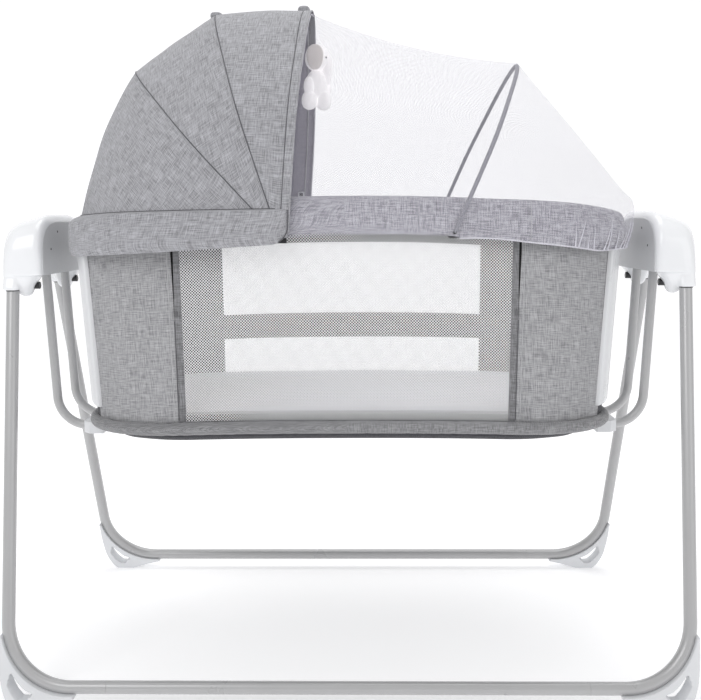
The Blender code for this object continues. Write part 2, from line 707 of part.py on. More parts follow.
def make_foot(name, side, end, mats):
    """A gusset outside the tube's bend, leaning with the leg, with a window and a groove for the tube."""
    pad_in = FOOT_PAD_X - FOOT_PAD_HALF_WIDTH
    pad_out = FOOT_PAD_X + FOOT_PAD_HALF_WIDTH
    rise = RAIL_AXIS_HEIGHT - TUBE_RADIUS
    low_outer = FOOT_TOP_HEIGHT * FOOT_OUTER_SHARE
    corners = [
        (FOOT_TAIL_X, RAIL_AXIS_HEIGHT, 0),
        (LEG_FOOT_X, RAIL_AXIS_HEIGHT, 0),
        (LEG_FOOT_X, FOOT_TOP_HEIGHT, 0),
    ]
    bend = rounded_path(corners, FOOT_TOP_HEIGHT - RAIL_AXIS_HEIGHT - GAP)
    inner = [(p[0], p[1]) for p in bend[1:]]
    outline = [
        (FOOT_TAIL_X, RAIL_AXIS_HEIGHT),
        (FOOT_TAIL_X, rise),
        (pad_in, 0),
        (pad_out, 0),
        (FOOT_OUTER_X, low_outer),
        (FOOT_OUTER_X, FOOT_TOP_HEIGHT),
    ] + inner[::-1]
    half = FOOT_THICKNESS / 2
    foot = prism(name, [(side * x, z) for x, z in outline], -half, half, "y", mats["foot"])
    inside = FOOT_OUTER_X - FOOT_WEB
    window = [
        (pad_in + FOOT_WEB, FOOT_WEB),
        (pad_out - FOOT_WEB / 2, FOOT_WEB),
        (inside, low_outer),
        (inside, low_outer + FOOT_WEB),
    ]
    cut = half + CUT_OVERRUN
    boolean(foot, prism("window", [(side * x, z) for x, z in window], -cut, cut, "y", None))
    for vertex in foot.data.vertices:
        lean = (vertex.co.z - RAIL_AXIS_HEIGHT) * math.tan(LEAN)
        vertex.co.y += end * (STAND_HALF_DEPTH - lean)
    boolean(foot, tube("groove", leg_path(side, end), TUBE_RADIUS + GAP, None))
    return foot


def hood_outline(inset=0.0):
    """The housing seen from its end, as (y, z): a rounded hood over a flat bottom."""
    half = HOUSING_HALF_LENGTH - inset
    rise = HOUSING_TOP - inset - HOUSING_BOTTOM
    left = [(-half * a, HOUSING_BOTTOM + rise * b) for a, b in HOOD_SHARES]
    return left + [(-y, z) for y, z in left[::-1]]


def top_fall(x):
    """How far the housing's top lies under its highest line at a distance x from the middle."""
    out = (abs(x) - HOUSING_INNER_X) / (HOUSING_OUTER_X - HOUSING_INNER_X)
    return HOUSING_TOP_FALL * max(0.0, out)


def slope_top(obj):
    """Lowers the upper half of a housing piece towards its outer face."""
    for vertex in obj.data.vertices:
        rise = (vertex.co.z - HOUSING_BOTTOM) / (HOUSING_TOP - HOUSING_BOTTOM)
        vertex.co.z -= top_fall(vertex.co.x) * min(1.0, max(0.0, rise))


def make_housings(mats):
    over = CUT_OVERRUN
    for side_name, side in SIDES:
        inner, outer = side * HOUSING_INNER_X, side * HOUSING_OUTER_X
        shell = prism(f"housing_shell_{side_name}", hood_outline(), inner, outer, "x", mats["shell"])
        bevel_edges(
            shell,
            HOUSING_EDGE,
            lambda e: all(abs(v.co.x) > HOUSING_OUTER_X - GAP for v in e.verts)
            and max(v.co.z for v in e.verts) > HOUSING_BOTTOM + GAP,
        )
        slope_top(shell)
        for _, end in ENDS:
            add_collar(shell, side, end)
            add_lobe(shell, side, end)
        half = HOUSING_CAVITY_HALF
        low = HOUSING_BOTTOM + HOUSING_WALL
        top = HOUSING_TOP - HOUSING_TOP_FALL - HOUSING_WALL
        shoulder = top - HOUSING_EDGE * 2
        cavity = [(-half, low), (half, low), (half, shoulder), (half - HOUSING_EDGE, top)]
        cavity += [(-half + HOUSING_EDGE, top), (-half, shoulder)]
        back = outer - side * HOUSING_WALL * CAVITY_BACK_SHARE
        boolean(shell, prism("cavity", cavity, inner - side * over, back, "x", None))
        slot_x = side * (ARM_TOP_X + ARM_RADIUS + HOUSING_WALL)
        slot = [(inner - side * over, -half), (slot_x, -half), (slot_x, half), (inner - side * over, half)]
        boolean(shell, prism("slot", slot, HOUSING_BOTTOM - over, low + over, "z", None))
        boss = circle((0, PIVOT_HEIGHT), PIVOT_RADIUS * 2)
        boss_x = side * (ARM_TOP_X + HANGER_THICKNESS / 2 + RUN_GAP)
        boolean(shell, prism("boss", boss, boss_x, outer - side * HOUSING_WALL, "x", None), "UNION")
        bore = circle((0, PIVOT_HEIGHT), PIVOT_RADIUS + RUN_GAP)
        bore_end = outer - side * HOUSING_WALL
        boolean(shell, prism("bore", bore, boss_x - side * over, bore_end, "x", None))
        for _, end in ENDS:
            boolean(shell, tube("socket", leg_path(side, end, GAP), TUBE_RADIUS + GAP, None))
            hole = circle((end * RELEASE_Y, RELEASE_HEIGHT), RELEASE_RADIUS + RUN_GAP, 12)
            hole_end = RELEASE_OUTER_X + RELEASE_TRAVEL + GAP
            hole_start = side * (LOBE_X - LOBE_RADIUS - over)
            boolean(shell, prism("hole", hole, hole_start, side * hole_end, "x", None))
        make_cover(side_name, side, mats)
        make_hanger(side_name, side, mats)
        if side < 0:
            cut_controls(shell, side)


def add_collar(shell, side, end):
    """The socket's collar round the leg's top end, under the hood's corner."""
    low = [(COLLAR_INNER_X, 0), (HOUSING_OUTER_X, 0)]
    rows = []
    for height in (COLLAR_BOTTOM, HOUSING_BOTTOM + HOUSING_WALL * 2):
        lean = (LEG_TOP_HEIGHT - height) * math.tan(LEAN)
        middle = LEG_TOP_HALF_DEPTH + lean
        near, far = middle - COLLAR_LENGTH / 2, middle + COLLAR_LENGTH / 2
        rise = height > HOUSING_BOTTOM
        outer = HOUSING_OUTER_X - (0.0 if rise else HOUSING_WALL)
        far = min(far, HOUSING_HALF_LENGTH - (HOUSING_WALL if rise else 0.0))
        cut = HOUSING_EDGE / 2
        plan = [
            (COLLAR_INNER_X, near),
            (outer - cut, near),
            (outer, near + cut),
            (outer, far - cut),
            (outer - cut, far),
            (COLLAR_INNER_X, far),
        ]
        rows.append([(side * x, end * y, height) for x, y in plan])
    boolean(shell, grid_solid("collar", rows, None), "UNION")


def add_lobe(shell, side, end):
    """A round-ended tab beside the collar, which holds the release button."""
    top = HOUSING_BOTTOM + HOUSING_WALL
    arc = [math.pi * (1 + i / BEND_STEPS) for i in range(BEND_STEPS + 1)]
    outline = [(LOBE_X + LOBE_RADIUS * math.cos(a), LOBE_HEIGHT + LOBE_RADIUS * math.sin(a)) for a in arc]
    outline += [(LOBE_X + LOBE_RADIUS, top), (LOBE_X - LOBE_RADIUS, top)]
    outline = [(side * x, z) for x, z in outline]
    boolean(shell, prism("lobe", outline, end * LOBE_INNER_Y, end * LOBE_OUTER_Y, "y", None), "UNION")


def cut_controls(shell, side):
    """Wells for the buttons and a hole for the inlet."""
    middle = side * (PANEL_INNER_X + PANEL_OUTER_X) / 2
    surface = HOUSING_TOP - top_fall(middle)
    for y in (-BUTTON_PITCH, BUTTON_PITCH):
        well = circle((middle, y), BUTTON_RADIUS + RUN_GAP, 12)
        boolean(shell, prism("well", well, surface - BUTTON_WELL, surface + BUTTON_WELL, "z", None))
    hole = circle((INLET_Y, INLET_HEIGHT), INLET_RADIUS + GAP, 12)
    outer = side * (HOUSING_OUTER_X + CUT_OVERRUN)
    boolean(shell, prism("hole", hole, side * (HOUSING_OUTER_X - INLET_LENGTH), outer, "x", None))


def make_cover(side_name, side, mats):
    """The plate that closes the housing's inner face and carries the inner end of the pivot."""
    outer = side * (HOUSING_INNER_X - GAP)
    inner = side * (HOUSING_INNER_X - GAP - COVER_THICKNESS)
    over = side * CUT_OVERRUN
    outline = hood_outline(HOUSING_WALL / 2)
    cover = prism(f"housing_cover_{side_name}", outline, inner, outer, "x", mats["shell"])
    bore = circle((0, PIVOT_HEIGHT), PIVOT_RADIUS + RUN_GAP)
    boolean(cover, prism("bore", bore, inner - over, outer + over, "x", None))
    half = HOUSING_HALF_LENGTH * HOOD_SHARES[2][0] - SCREW_RADIUS * 4
    for y in (-half, half):
        for z in (HOUSING_BOTTOM + SCREW_RADIUS * 4, PIVOT_HEIGHT):
            hole = circle((y, z), SCREW_RADIUS, 8)
            boolean(cover, prism("screw", hole, inner - over, outer + over, "x", None))


def arm_path(side, end, over=0.0):
    corners = [
        (side * (ARM_END_X - over), end * ARM_HALF_SPREAD, ARM_LOW_HEIGHT),
        (side * ARM_CORNER_X, end * ARM_HALF_SPREAD, ARM_LOW_HEIGHT),
        (side * ARM_TOP_X, end * ARM_HALF_SPREAD, ARM_TOP_HEIGHT + over),
    ]
    return rounded_path(corners, ARM_BEND_RADIUS)


def make_hanger(side_name, side, mats):
    """The yoke that turns in the housing with its shaft, and the two arms that hang from it."""
    cradle = bpy.data.objects["cradle_pivot"]
    half = HANGER_HALF_LENGTH
    outline = [(-half, HANGER_BOTTOM), (half, HANGER_BOTTOM), (half, HANGER_SHOULDER)]
    outline += [(half / 4, HANGER_TOP), (-half / 4, HANGER_TOP), (-half, HANGER_SHOULDER)]
    inner = side * (ARM_TOP_X - HANGER_THICKNESS / 2)
    outer = side * (ARM_TOP_X + HANGER_THICKNESS / 2)
    hanger = prism(f"hanger_{side_name}", outline, inner, outer, "x", mats["foot"], cradle)
    shaft = circle((0, PIVOT_HEIGHT), PIVOT_RADIUS)
    start = side * (HOUSING_INNER_X - GAP - COVER_THICKNESS)
    stop = side * (HOUSING_OUTER_X - HOUSING_WALL - RUN_GAP)
    boolean(hanger, prism("shaft", shaft, start, stop, "x", None, cradle), "UNION")
    for _, end in ENDS:
        boolean(hanger, tube("socket", arm_path(side, end, GAP), ARM_RADIUS + GAP, None, cradle))


def make_arms(mats, cradle):
    for side_name, side in SIDES:
        for end_name, end in ENDS:
            tube(f"arm_{end_name}_{side_name}", arm_path(side, end), ARM_RADIUS, mats["tube"], cradle)
        half = CLIP_HALF_LENGTH
        cut = CLIP_OUTER_X - CLIP_INNER_X
        plan = [
            (side * CLIP_INNER_X, -half),
            (side * (CLIP_OUTER_X - cut / 3), -half),
            (side * CLIP_OUTER_X, -half + cut / 3),
            (side * CLIP_OUTER_X, half - cut / 3),
            (side * (CLIP_OUTER_X - cut / 3), half),
            (side * CLIP_INNER_X, half),
        ]
        top = RING_HEIGHT - RING_END_DROP - RING_SLEEVE_RADIUS - RUN_GAP
        clip = prism(f"clip_{side_name}", plan, CLIP_BOTTOM, top, "z", mats["foot"], cradle)
        for _, end in ENDS:
            boolean(clip, tube("bore", arm_path(side, end, GAP), ARM_RADIUS + GAP, None, cradle))


def make_controls(mats):
    """Panel and buttons on top of the left housing, the drive and the inlet, and the release buttons."""
    side = -1
    rise = HOUSING_TOP - HOUSING_BOTTOM
    edge = HOUSING_TOP - rise * (1 - HOOD_SHARES[-2][1]) * (PANEL_HALF_LENGTH - PANEL_FLAT_HALF) / (
        HOUSING_HALF_LENGTH * (HOOD_SHARES[-2][0] - HOOD_SHARES[-1][0])
    )
    under = [
        (-PANEL_HALF_LENGTH, edge + GAP),
        (-PANEL_FLAT_HALF, HOUSING_TOP + GAP),
        (PANEL_FLAT_HALF, HOUSING_TOP + GAP),
        (PANEL_HALF_LENGTH, edge + GAP),
    ]
    over = [(y, z + PANEL_THICKNESS) for y, z in under[::-1]]
    start, stop = side * PANEL_INNER_X, side * PANEL_OUTER_X
    panel = prism("control_panel", under + over, start, stop, "x", mats["panel"])
    slope_top(panel)
    middle = side * (PANEL_INNER_X + PANEL_OUTER_X) / 2
    surface = HOUSING_TOP - top_fall(middle)
    for name, y in (("power", -BUTTON_PITCH), ("speed", BUTTON_PITCH)):
        hole = circle((middle, y), BUTTON_RADIUS + RUN_GAP, 12)
        boolean(panel, prism("hole", hole, surface - BUTTON_WELL, surface + BUTTON_WELL * 2, "z", None))
        top = surface + top_fall(HOUSING_OUTER_X) * BUTTON_RADIUS / (HOUSING_OUTER_X - HOUSING_INNER_X)
        top += PANEL_THICKNESS + BUTTON_PROUD
        low = surface - BUTTON_WELL + BUTTON_TRAVEL + GAP
        carrier = pivot(f"button_{name}_slide", (middle, y, low))
        cap = circle((middle, y), BUTTON_RADIUS, 12)
        prism(f"button_{name}", cap, low, top, "z", mats["shell"], carrier)
    floor = HOUSING_BOTTOM + HOUSING_WALL + GAP
    box(
        "drive_motor",
        (side * (DRIVE_INNER_X + DRIVE_WIDTH), DRIVE_START_Y, floor),
        (side * DRIVE_INNER_X, DRIVE_START_Y + DRIVE_LENGTH, floor + DRIVE_HEIGHT),
        mats["steel"],
    )
    inlet = circle((INLET_Y, INLET_HEIGHT), INLET_RADIUS, 12)
    start = side * (HOUSING_OUTER_X - INLET_LENGTH + GAP)
    prism("power_inlet", inlet, start, side * HOUSING_OUTER_X, "x", mats["black"])
    for side_name, side in SIDES:
        for end_name, end in ENDS:
            place = (side * RELEASE_INNER_X, end * RELEASE_Y, RELEASE_HEIGHT)
            carrier = pivot(f"release_{end_name}_{side_name}_slide", place)
            knob = circle((end * RELEASE_Y, RELEASE_HEIGHT), RELEASE_RADIUS, 12)
            name = f"leg_release_{end_name}_{side_name}"
            start, stop = side * RELEASE_INNER_X, side * RELEASE_OUTER_X
            prism(name, knob, start, stop, "x", mats["black"], carrier)


def across(name, half_length, half_width, corner, drop, profile, crown, mat, carrier):
    """A flat body of the plan's outline: rows across it, front edge, crowned top, rear edge, bottom."""
    rows = []
    for u in stations(-2, 2):
        x, y, nx, ny = plan_point(u, half_length, half_width, corner)
        fall = drop(x)
        edge = [(x + nx * out, y + ny * out, z + fall) for out, z in profile]
        row = list(edge)
        top = edge[-1]
        end_share = max(0.0, 1 - abs(top[0] / half_length) ** CROWN_POWER_SHARE)
        for share in CROWN_SHARES if crown else ():
            rise = crown * (1 - abs(share) ** CROWN_POWER_SHARE) * end_share
            row.append((top[0], share * top[1], top[2] + rise))
        row += [(px, -py, pz) for px, py, pz in edge[::-1]]
        rows.append(row)
    return grid_solid(name, rows, mat, carrier)


def make_cradle_bottom(mats, cradle):
    us = loop_stations()
    ring = (RING_HALF_LENGTH, RING_HALF_WIDTH)
    bar = arc_profile(RING_TUBE_RADIUS, RING_HEIGHT, 0, 2 * math.pi, RING_SIDES)[:-1]
    rows = carried(us, *ring, ring_drop, lambda x: bar)
    grid_solid("bottom_frame", rows, mats["tube"], cradle, closed_path=True)
    start, sweep = SLEEVE_SLIT_START, SLEEVE_SLIT_SWEEP
    inside = RING_TUBE_RADIUS / math.cos(math.pi / RING_SIDES) + GAP
    sleeve = arc_profile(RING_SLEEVE_RADIUS, RING_HEIGHT, start, sweep, RING_SIDES)
    sleeve += arc_profile(inside, RING_HEIGHT, start + sweep, -sweep, RING_SIDES)
    rows = carried(us, *ring, ring_drop, lambda x: sleeve)
    grid_solid("bottom_sleeve", rows, mats["fabric"], cradle, closed_path=True)
    inset = -RING_SLEEVE_RADIUS - RUN_GAP
    floor_top = FLOOR_TOP
    profile = [
        (inset - FLOOR_EDGE_INSET, FLOOR_BOTTOM),
        (inset, FLOOR_BOTTOM + FLOOR_EDGE_RISE),
        (inset, floor_top - FLOOR_EDGE_RISE),
        (inset - FLOOR_EDGE_INSET / 2, floor_top),
    ]
    size = (*ring, CORNER_RADIUS)
    across("basket_floor", *size, ring_drop, profile, 0.0, mats["charcoal"], cradle)
    low = floor_top + GAP
    high = low + MATTRESS_THICKNESS - MATTRESS_CROWN
    profile = [
        (-MATTRESS_EDGE, low),
        (0, low + MATTRESS_EDGE),
        (0, high - MATTRESS_EDGE),
        (-MATTRESS_EDGE, high),
    ]
    size = (MATTRESS_HALF_LENGTH, MATTRESS_HALF_WIDTH, MATTRESS_CORNER)
    across("mattress", *size, ring_drop, profile, MATTRESS_CROWN, mats["mattress"], cradle)


def wall_rows(us, low_out, high_out, thickness, bottom=WALL_BOTTOM):
    """Rows of a wall that runs straight from over the bottom ring up to under the rim tube."""
    rows = []
    for u in us:
        x, y, nx, ny = plan_point(u, RING_HALF_LENGTH, RING_HALF_WIDTH)
        top_x, top_y, _, _ = plan_point(u, RIM_HALF_LENGTH, RIM_HALF_WIDTH)
        low = bottom + ring_drop(x)
        high = WALL_TOP + rim_drop(top_x)
        row = [(x + nx * out, y + ny * out, low) for out in (low_out, low_out - thickness)]
        row += [(top_x + nx * out, top_y + ny * out, high) for out in (high_out - thickness, high_out)]
        rows.append(row)
    return rows


def wall_face(height, inset=0.0):
    """Distance from the middle to the outer face of the long walls at a height, less an inset."""
    share = (height - WALL_BOTTOM) / (WALL_TOP - WALL_BOTTOM)
    low = RING_HALF_WIDTH - PLATE_THICKNESS - GAP
    high = RIM_HALF_WIDTH + PLATE_RIM_LEAN - PLATE_THICKNESS - GAP
    return low + (high - low) * share - inset


def make_walls(mats, cradle):
    reach = 1 + SIDE_STEPS / CORNER_STEPS
    outs = (-PLATE_THICKNESS - GAP, PLATE_RIM_LEAN - PLATE_THICKNESS - GAP)
    openings = {
        "front": ((WINDOW_BOTTOM, WINDOW_TOP),),
        "rear": ((WINDOW_BOTTOM, BAND_BOTTOM), (BAND_TOP, WINDOW_TOP)),
    }
    for end_name, end in ENDS:
        middle = 0 if end < 0 else PATH_LENGTH / 2
        us = stations_about(middle, reach + SIDE_LAP_STEPS / CORNER_STEPS)
        side = grid_solid(f"side_{end_name}", wall_rows(us, *outs, WALL_THICKNESS), mats["fabric"], cradle)
        near, far = RING_HALF_WIDTH - CORNER_RADIUS, RIM_HALF_WIDTH + CUT_OVERRUN
        for low, high in openings[end_name]:
            ys = sorted((end * near, end * far))
            corners = ((-WINDOW_HALF_LENGTH, ys[0], low), (WINDOW_HALF_LENGTH, ys[1], high))
            boolean(side, box("opening", *corners, None, cradle))
        make_netting(end_name, end, mats, cradle)
    for side_name, side in SIDES:
        middle = PATH_LENGTH / 4 if side > 0 else 3 * PATH_LENGTH / 4
        us = stations_about(middle, PATH_LENGTH / 4 - reach)
        rows = wall_rows(us, 0.0, PLATE_RIM_LEAN, PLATE_THICKNESS, PLATE_BOTTOM)
        grid_solid(f"end_shell_{side_name}", rows, mats["shell"], cradle)
        make_slider(side_name, side, mats, cradle)


def stations_about(middle, reach):
    return stations(middle - reach, middle + reach)


def make_netting(end_name, end, mats, cradle):
    """A sheet of netting: in the front opening, and behind the band that parts the rear opening."""
    front = end < 0
    if front:
        low, high, half = WINDOW_BOTTOM + GAP, WINDOW_TOP - GAP, WINDOW_HALF_LENGTH - GAP
        inset = WALL_THICKNESS / 2
    else:
        lap = WALL_THICKNESS * 2
        low, high, half = WINDOW_BOTTOM - lap / 2, WINDOW_TOP + lap, WINDOW_HALF_LENGTH + lap
        inset = WALL_THICKNESS + RUN_GAP
    outline = []
    for height, depth in ((low, 0), (high, 0), (high, NETTING_THICKNESS), (low, NETTING_THICKNESS)):
        outline.append((end * wall_face(height, inset + depth), height))
    prism(f"window_{end_name}", outline, -half, half, "x", mats["netting"], cradle)


def make_slider(side_name, side, mats, cradle):
    """The zip slider of the front panel's vertical zip."""
    middle = side * SLIDER_X
    half = SLIDER_LENGTH / 2
    low, high = SLIDER_HEIGHT - half, SLIDER_HEIGHT + half
    near = SLIDER_CLEARANCE
    far = near + SLIDER_THICKNESS
    outline = []
    for height, depth in ((low, near), (high, near), (high, far), (low, far)):
        outline.append((-wall_face(height, -depth), height))
    carrier = pivot(f"slider_{side_name}_slide", (middle, -wall_face(SLIDER_HEIGHT), SLIDER_HEIGHT), cradle)
    width = SLIDER_WIDTH / 2
    prism(f"zip_slider_{side_name}", outline, middle - width, middle + width, "x", mats["steel"], carrier)


def make_rim(mats, cradle):
    us = loop_stations()
    rim = (RIM_HALF_LENGTH, RIM_HALF_WIDTH)
    bar = arc_profile(RIM_TUBE_RADIUS, RIM_TUBE_HEIGHT, 0, 2 * math.pi, RING_SIDES)[:-1]
    rows = carried(us, *rim, rim_drop, lambda x: bar)
    rim_tube = grid_solid("rim_tube", rows, mats["tube"], cradle, closed_path=True)
    skirt = make_skirt(us, rim, mats, cradle)
    for x, height, pin_end in (
        (CANOPY_PIVOT_X, CANOPY_PIVOT_HEIGHT, PIN_END),
        (HOOP_PIVOT_X, HOOP_PIVOT_HEIGHT, HOOP_HALF_WIDTH + HOOP_RADIUS),
    ):
        for _, end in ENDS:
            face = RIM_HALF_WIDTH + RIM_TUBE_RADIUS * LUG_FACE_SHARE
            ys = sorted((end * face, end * (face - LUG_THICKNESS)))
            low = (x - LUG_HALF_WIDTH, ys[0], height - LUG_REACH)
            high = (x + LUG_HALF_WIDTH, ys[1], RIM_TUBE_HEIGHT + rim_drop(x))
            boolean(rim_tube, box("lug", low, high, None, cradle), "UNION")
            pin = circle((x, height), PIN_RADIUS, 12)
            start, stop = end * (face - LUG_THICKNESS / 2), end * pin_end
            boolean(rim_tube, prism("pin", pin, start, stop, "y", None, cradle), "UNION")
            hole = circle((x, height), PIN_RADIUS + RUN_GAP, 12)
            start, stop = end * (RIM_HALF_WIDTH + RIM_TUBE_RADIUS), end * (pin_end + CUT_OVERRUN)
            boolean(skirt, prism("hole", hole, start, stop, "y", None, cradle))


def make_skirt(us, rim, mats, cradle):
    """The padded skirt over the rim tube: a long flap outside and a short one inside."""

    def profile(x):
        growth = SKIRT_END_GROWTH * abs(x) / RIM_HALF_LENGTH
        low = RIM_TOP - SKIRT_HEIGHT - growth
        inner_low = RIM_TUBE_HEIGHT - SKIRT_INNER_HEIGHT
        half_turn = math.pi
        over = arc_profile(SKIRT_OUTSIDE, RIM_TUBE_HEIGHT, 0, half_turn, 4)
        back = arc_profile(SKIRT_INSIDE / math.cos(half_turn / 8), RIM_TUBE_HEIGHT, half_turn, -half_turn, 4)
        inside = SKIRT_INSIDE / math.cos(half_turn / 8)
        outer = [(SKIRT_OUTSIDE, low)] + over + [(-SKIRT_OUTSIDE, inner_low)]
        return outer + [(-inside, inner_low)] + back + [(inside, low)]

    rows = carried(us, *rim, rim_drop, profile)
    return grid_solid("rim_skirt", rows, mats["fabric"], cradle, closed_path=True)


def make_bow(name, top, half_width, radius, pin_place, mat, carrier):
    """A wire bow with an eye on the pivot pin at each foot."""
    path = arch(pin_place, top, half_width)
    bow = tube(name, path, radius, mat, carrier, sides=WIRE_SIDES)
    eye_radius = max(BOW_EYE_RADIUS, radius * 2)
    for _, end in ENDS:
        inner, outer = end * (half_width - radius), end * (half_width + radius)
        eye = circle(pin_place, eye_radius, 12)
        boolean(bow, prism("eye", eye, inner, outer, "y", None, carrier), "UNION")
    for _, end in ENDS:
        inner, outer = end * (half_width - radius), end * (half_width + radius)
        hole = circle(pin_place, PIN_RADIUS + RUN_GAP, 12)
        over = end * CUT_OVERRUN
        boolean(bow, prism("hole", hole, inner - over, outer + over, "y", None, carrier))
    return bow


def make_canopy(mats, cradle):
    axis = CANOPY_PIVOT
    place = (CANOPY_PIVOT_X, 0.0, CANOPY_PIVOT_HEIGHT)
    rear = pivot("canopy_rear_pivot", place, cradle)
    middle = pivot("canopy_middle_pivot", place, rear)
    front = pivot("canopy_front_pivot", place, middle)
    stack = [FRONT_BOW_HALF_WIDTH + i * BOW_PITCH for i in range(3)]
    make_bow("canopy_bow_rear", REAR_BOW_TOP, stack[2], BOW_RADIUS, axis, mats["steel"], rear)
    make_bow("canopy_bow_middle", MIDDLE_BOW_TOP, stack[1], BOW_RADIUS, axis, mats["steel"], middle)
    make_bow("canopy_bow_front", FRONT_BOW_TOP, stack[0], BOW_RADIUS, axis, mats["steel"], front)
    width = stack[2] + CANOPY_FABRIC_GAP + CANOPY_FABRIC_THICKNESS
    hem_x = NET_EDGE_OFFSET + NET_EDGE_RADIUS
    tops = [lifted(axis, top, CANOPY_SKIN_LIFT) for top in (FRONT_BOW_TOP, MIDDLE_BOW_TOP, REAR_BOW_TOP)]
    front_bow, middle_bow, rear_bow = [(axis, top, width) for top in tops]
    hem = ((axis[0] + hem_x, axis[1]), (tops[0][0] + hem_x, tops[0][1]), width)
    end = ((CANOPY_END_BASE_X, CANOPY_END_HEIGHT), (CANOPY_END_TOP_X, CANOPY_END_TOP_HEIGHT), width)
    arches = [hem] + between(front_bow, middle_bow, 3, CANOPY_SAG)[:-1]
    arches += between(middle_bow, rear_bow, 3, CANOPY_SAG)[:-1]
    arches += between(rear_bow, end, 5, -CANOPY_SAG)
    arch_shell("canopy_fabric", arches, CANOPY_FABRIC_THICKNESS, mats["fabric"], middle)
    make_valance(mats, cradle)
    return front


def make_valance(mats, cradle):
    """The band that covers the rim and the canopy's pivots round the head end."""

    def offset(x):
        share = (abs(x) - VALANCE_HUB_X) / (VALANCE_BLEND_X - VALANCE_HUB_X)
        share = min(1.0, max(0.0, share))
        share = share * share * (3 - 2 * share)
        return VALANCE_HUB_OFFSET + (VALANCE_END_OFFSET - VALANCE_HUB_OFFSET) * share

    def profile(x):
        out = offset(x)
        top = VALANCE_TOP - (1 - VALANCE_DROP_SHARE) * rim_drop(x)
        low = VALANCE_BOTTOM - rim_drop(x) - VALANCE_BOTTOM_FALL * min(1.0, abs(x) / VALANCE_HUB_X)
        bulge = VALANCE_THICKNESS
        return [
            (out, low),
            (out, top),
            (out + bulge, top),
            (out + bulge * VALANCE_BULGE_SHARE, (top + low) / 2),
            (out + bulge, low),
        ]

    share = straight_station(VALANCE_FRONT_X, RIM_HALF_LENGTH)
    half_path = PATH_LENGTH / 2
    us = stations(half_path + share, PATH_LENGTH - share)
    rows = carried(us, RIM_HALF_LENGTH, RIM_HALF_WIDTH, rim_drop, profile)
    grid_solid("canopy_valance", rows, mats["fabric"], cradle)


def make_net(mats, cradle):
    place = (CANOPY_PIVOT_X, 0.0, CANOPY_PIVOT_HEIGHT)
    edge = pivot("net_edge_pivot", place, cradle)
    base = (CANOPY_PIVOT_X + NET_EDGE_OFFSET, CANOPY_PIVOT_HEIGHT)
    top = (FRONT_BOW_TOP[0] + NET_EDGE_OFFSET, FRONT_BOW_TOP[1])
    under = GAP + NET_EDGE_RADIUS
    half_width = FRONT_BOW_HALF_WIDTH + 2 * BOW_PITCH + CANOPY_FABRIC_GAP - under
    top = lifted(base, top, CANOPY_SKIN_LIFT - CANOPY_FABRIC_THICKNESS - under)
    path = arch(base, top, half_width)
    tube("net_edge", path, NET_EDGE_RADIUS, mats["white_net"], edge, sides=WIRE_SIDES)
    hoop_axis = HOOP_PIVOT
    hoop = pivot("net_hoop_pivot", (HOOP_PIVOT_X, 0.0, HOOP_PIVOT_HEIGHT), cradle)
    make_bow("net_hoop", HOOP_TOP, HOOP_HALF_WIDTH, HOOP_RADIUS, hoop_axis, mats["sleeve"], hoop)
    shift = NET_EDGE_GAP + NET_EDGE_RADIUS
    lifted_top = lifted(base, top, NET_EDGE_RADIUS + NET_THICKNESS)
    first = ((base[0] + shift, base[1]), (lifted_top[0] + shift, lifted_top[1]), NET_HALF_WIDTH)
    hoop_station = (hoop_axis, lifted(hoop_axis, HOOP_TOP, NET_LIFT), NET_HALF_WIDTH)
    shoulder = (NET_SHOULDER_BASE, NET_SHOULDER_TOP, NET_HALF_WIDTH)
    last = ((NET_END_BASE_X, NET_END_HEIGHT), (NET_END_TOP_X, NET_END_HEIGHT), NET_HALF_WIDTH)
    arches = between(first, hoop_station, 4, NET_SAG)[:-1]
    arches += between(hoop_station, shoulder, 4)[:-1]
    arches += between(shoulder, last, 2)
    arch_shell("net", arches, NET_THICKNESS, mats["white_net"], cradle)


def stuffed(name, centre, size, taper, mat, carrier):
    """A stuffed form: a ball drawn out to its half sizes, slimmer towards its top by the taper."""
    work = bmesh.new()
    bmesh.ops.create_uvsphere(work, u_segments=12, v_segments=8, radius=1.0)
    for vertex in work.verts:
        slim = 1 - taper * (vertex.co.z + 1) / 2
        vertex.co = Vector(centre) + Vector(
            (vertex.co.x * size[0] * slim, vertex.co.y * size[1] * slim, vertex.co.z * size[2])
        )
    points = [v.co.copy() for v in work.verts]
    faces = [[v.index for v in f.verts] for f in work.faces]
    work.free()
    return solid(name, points, faces, mat, carrier)


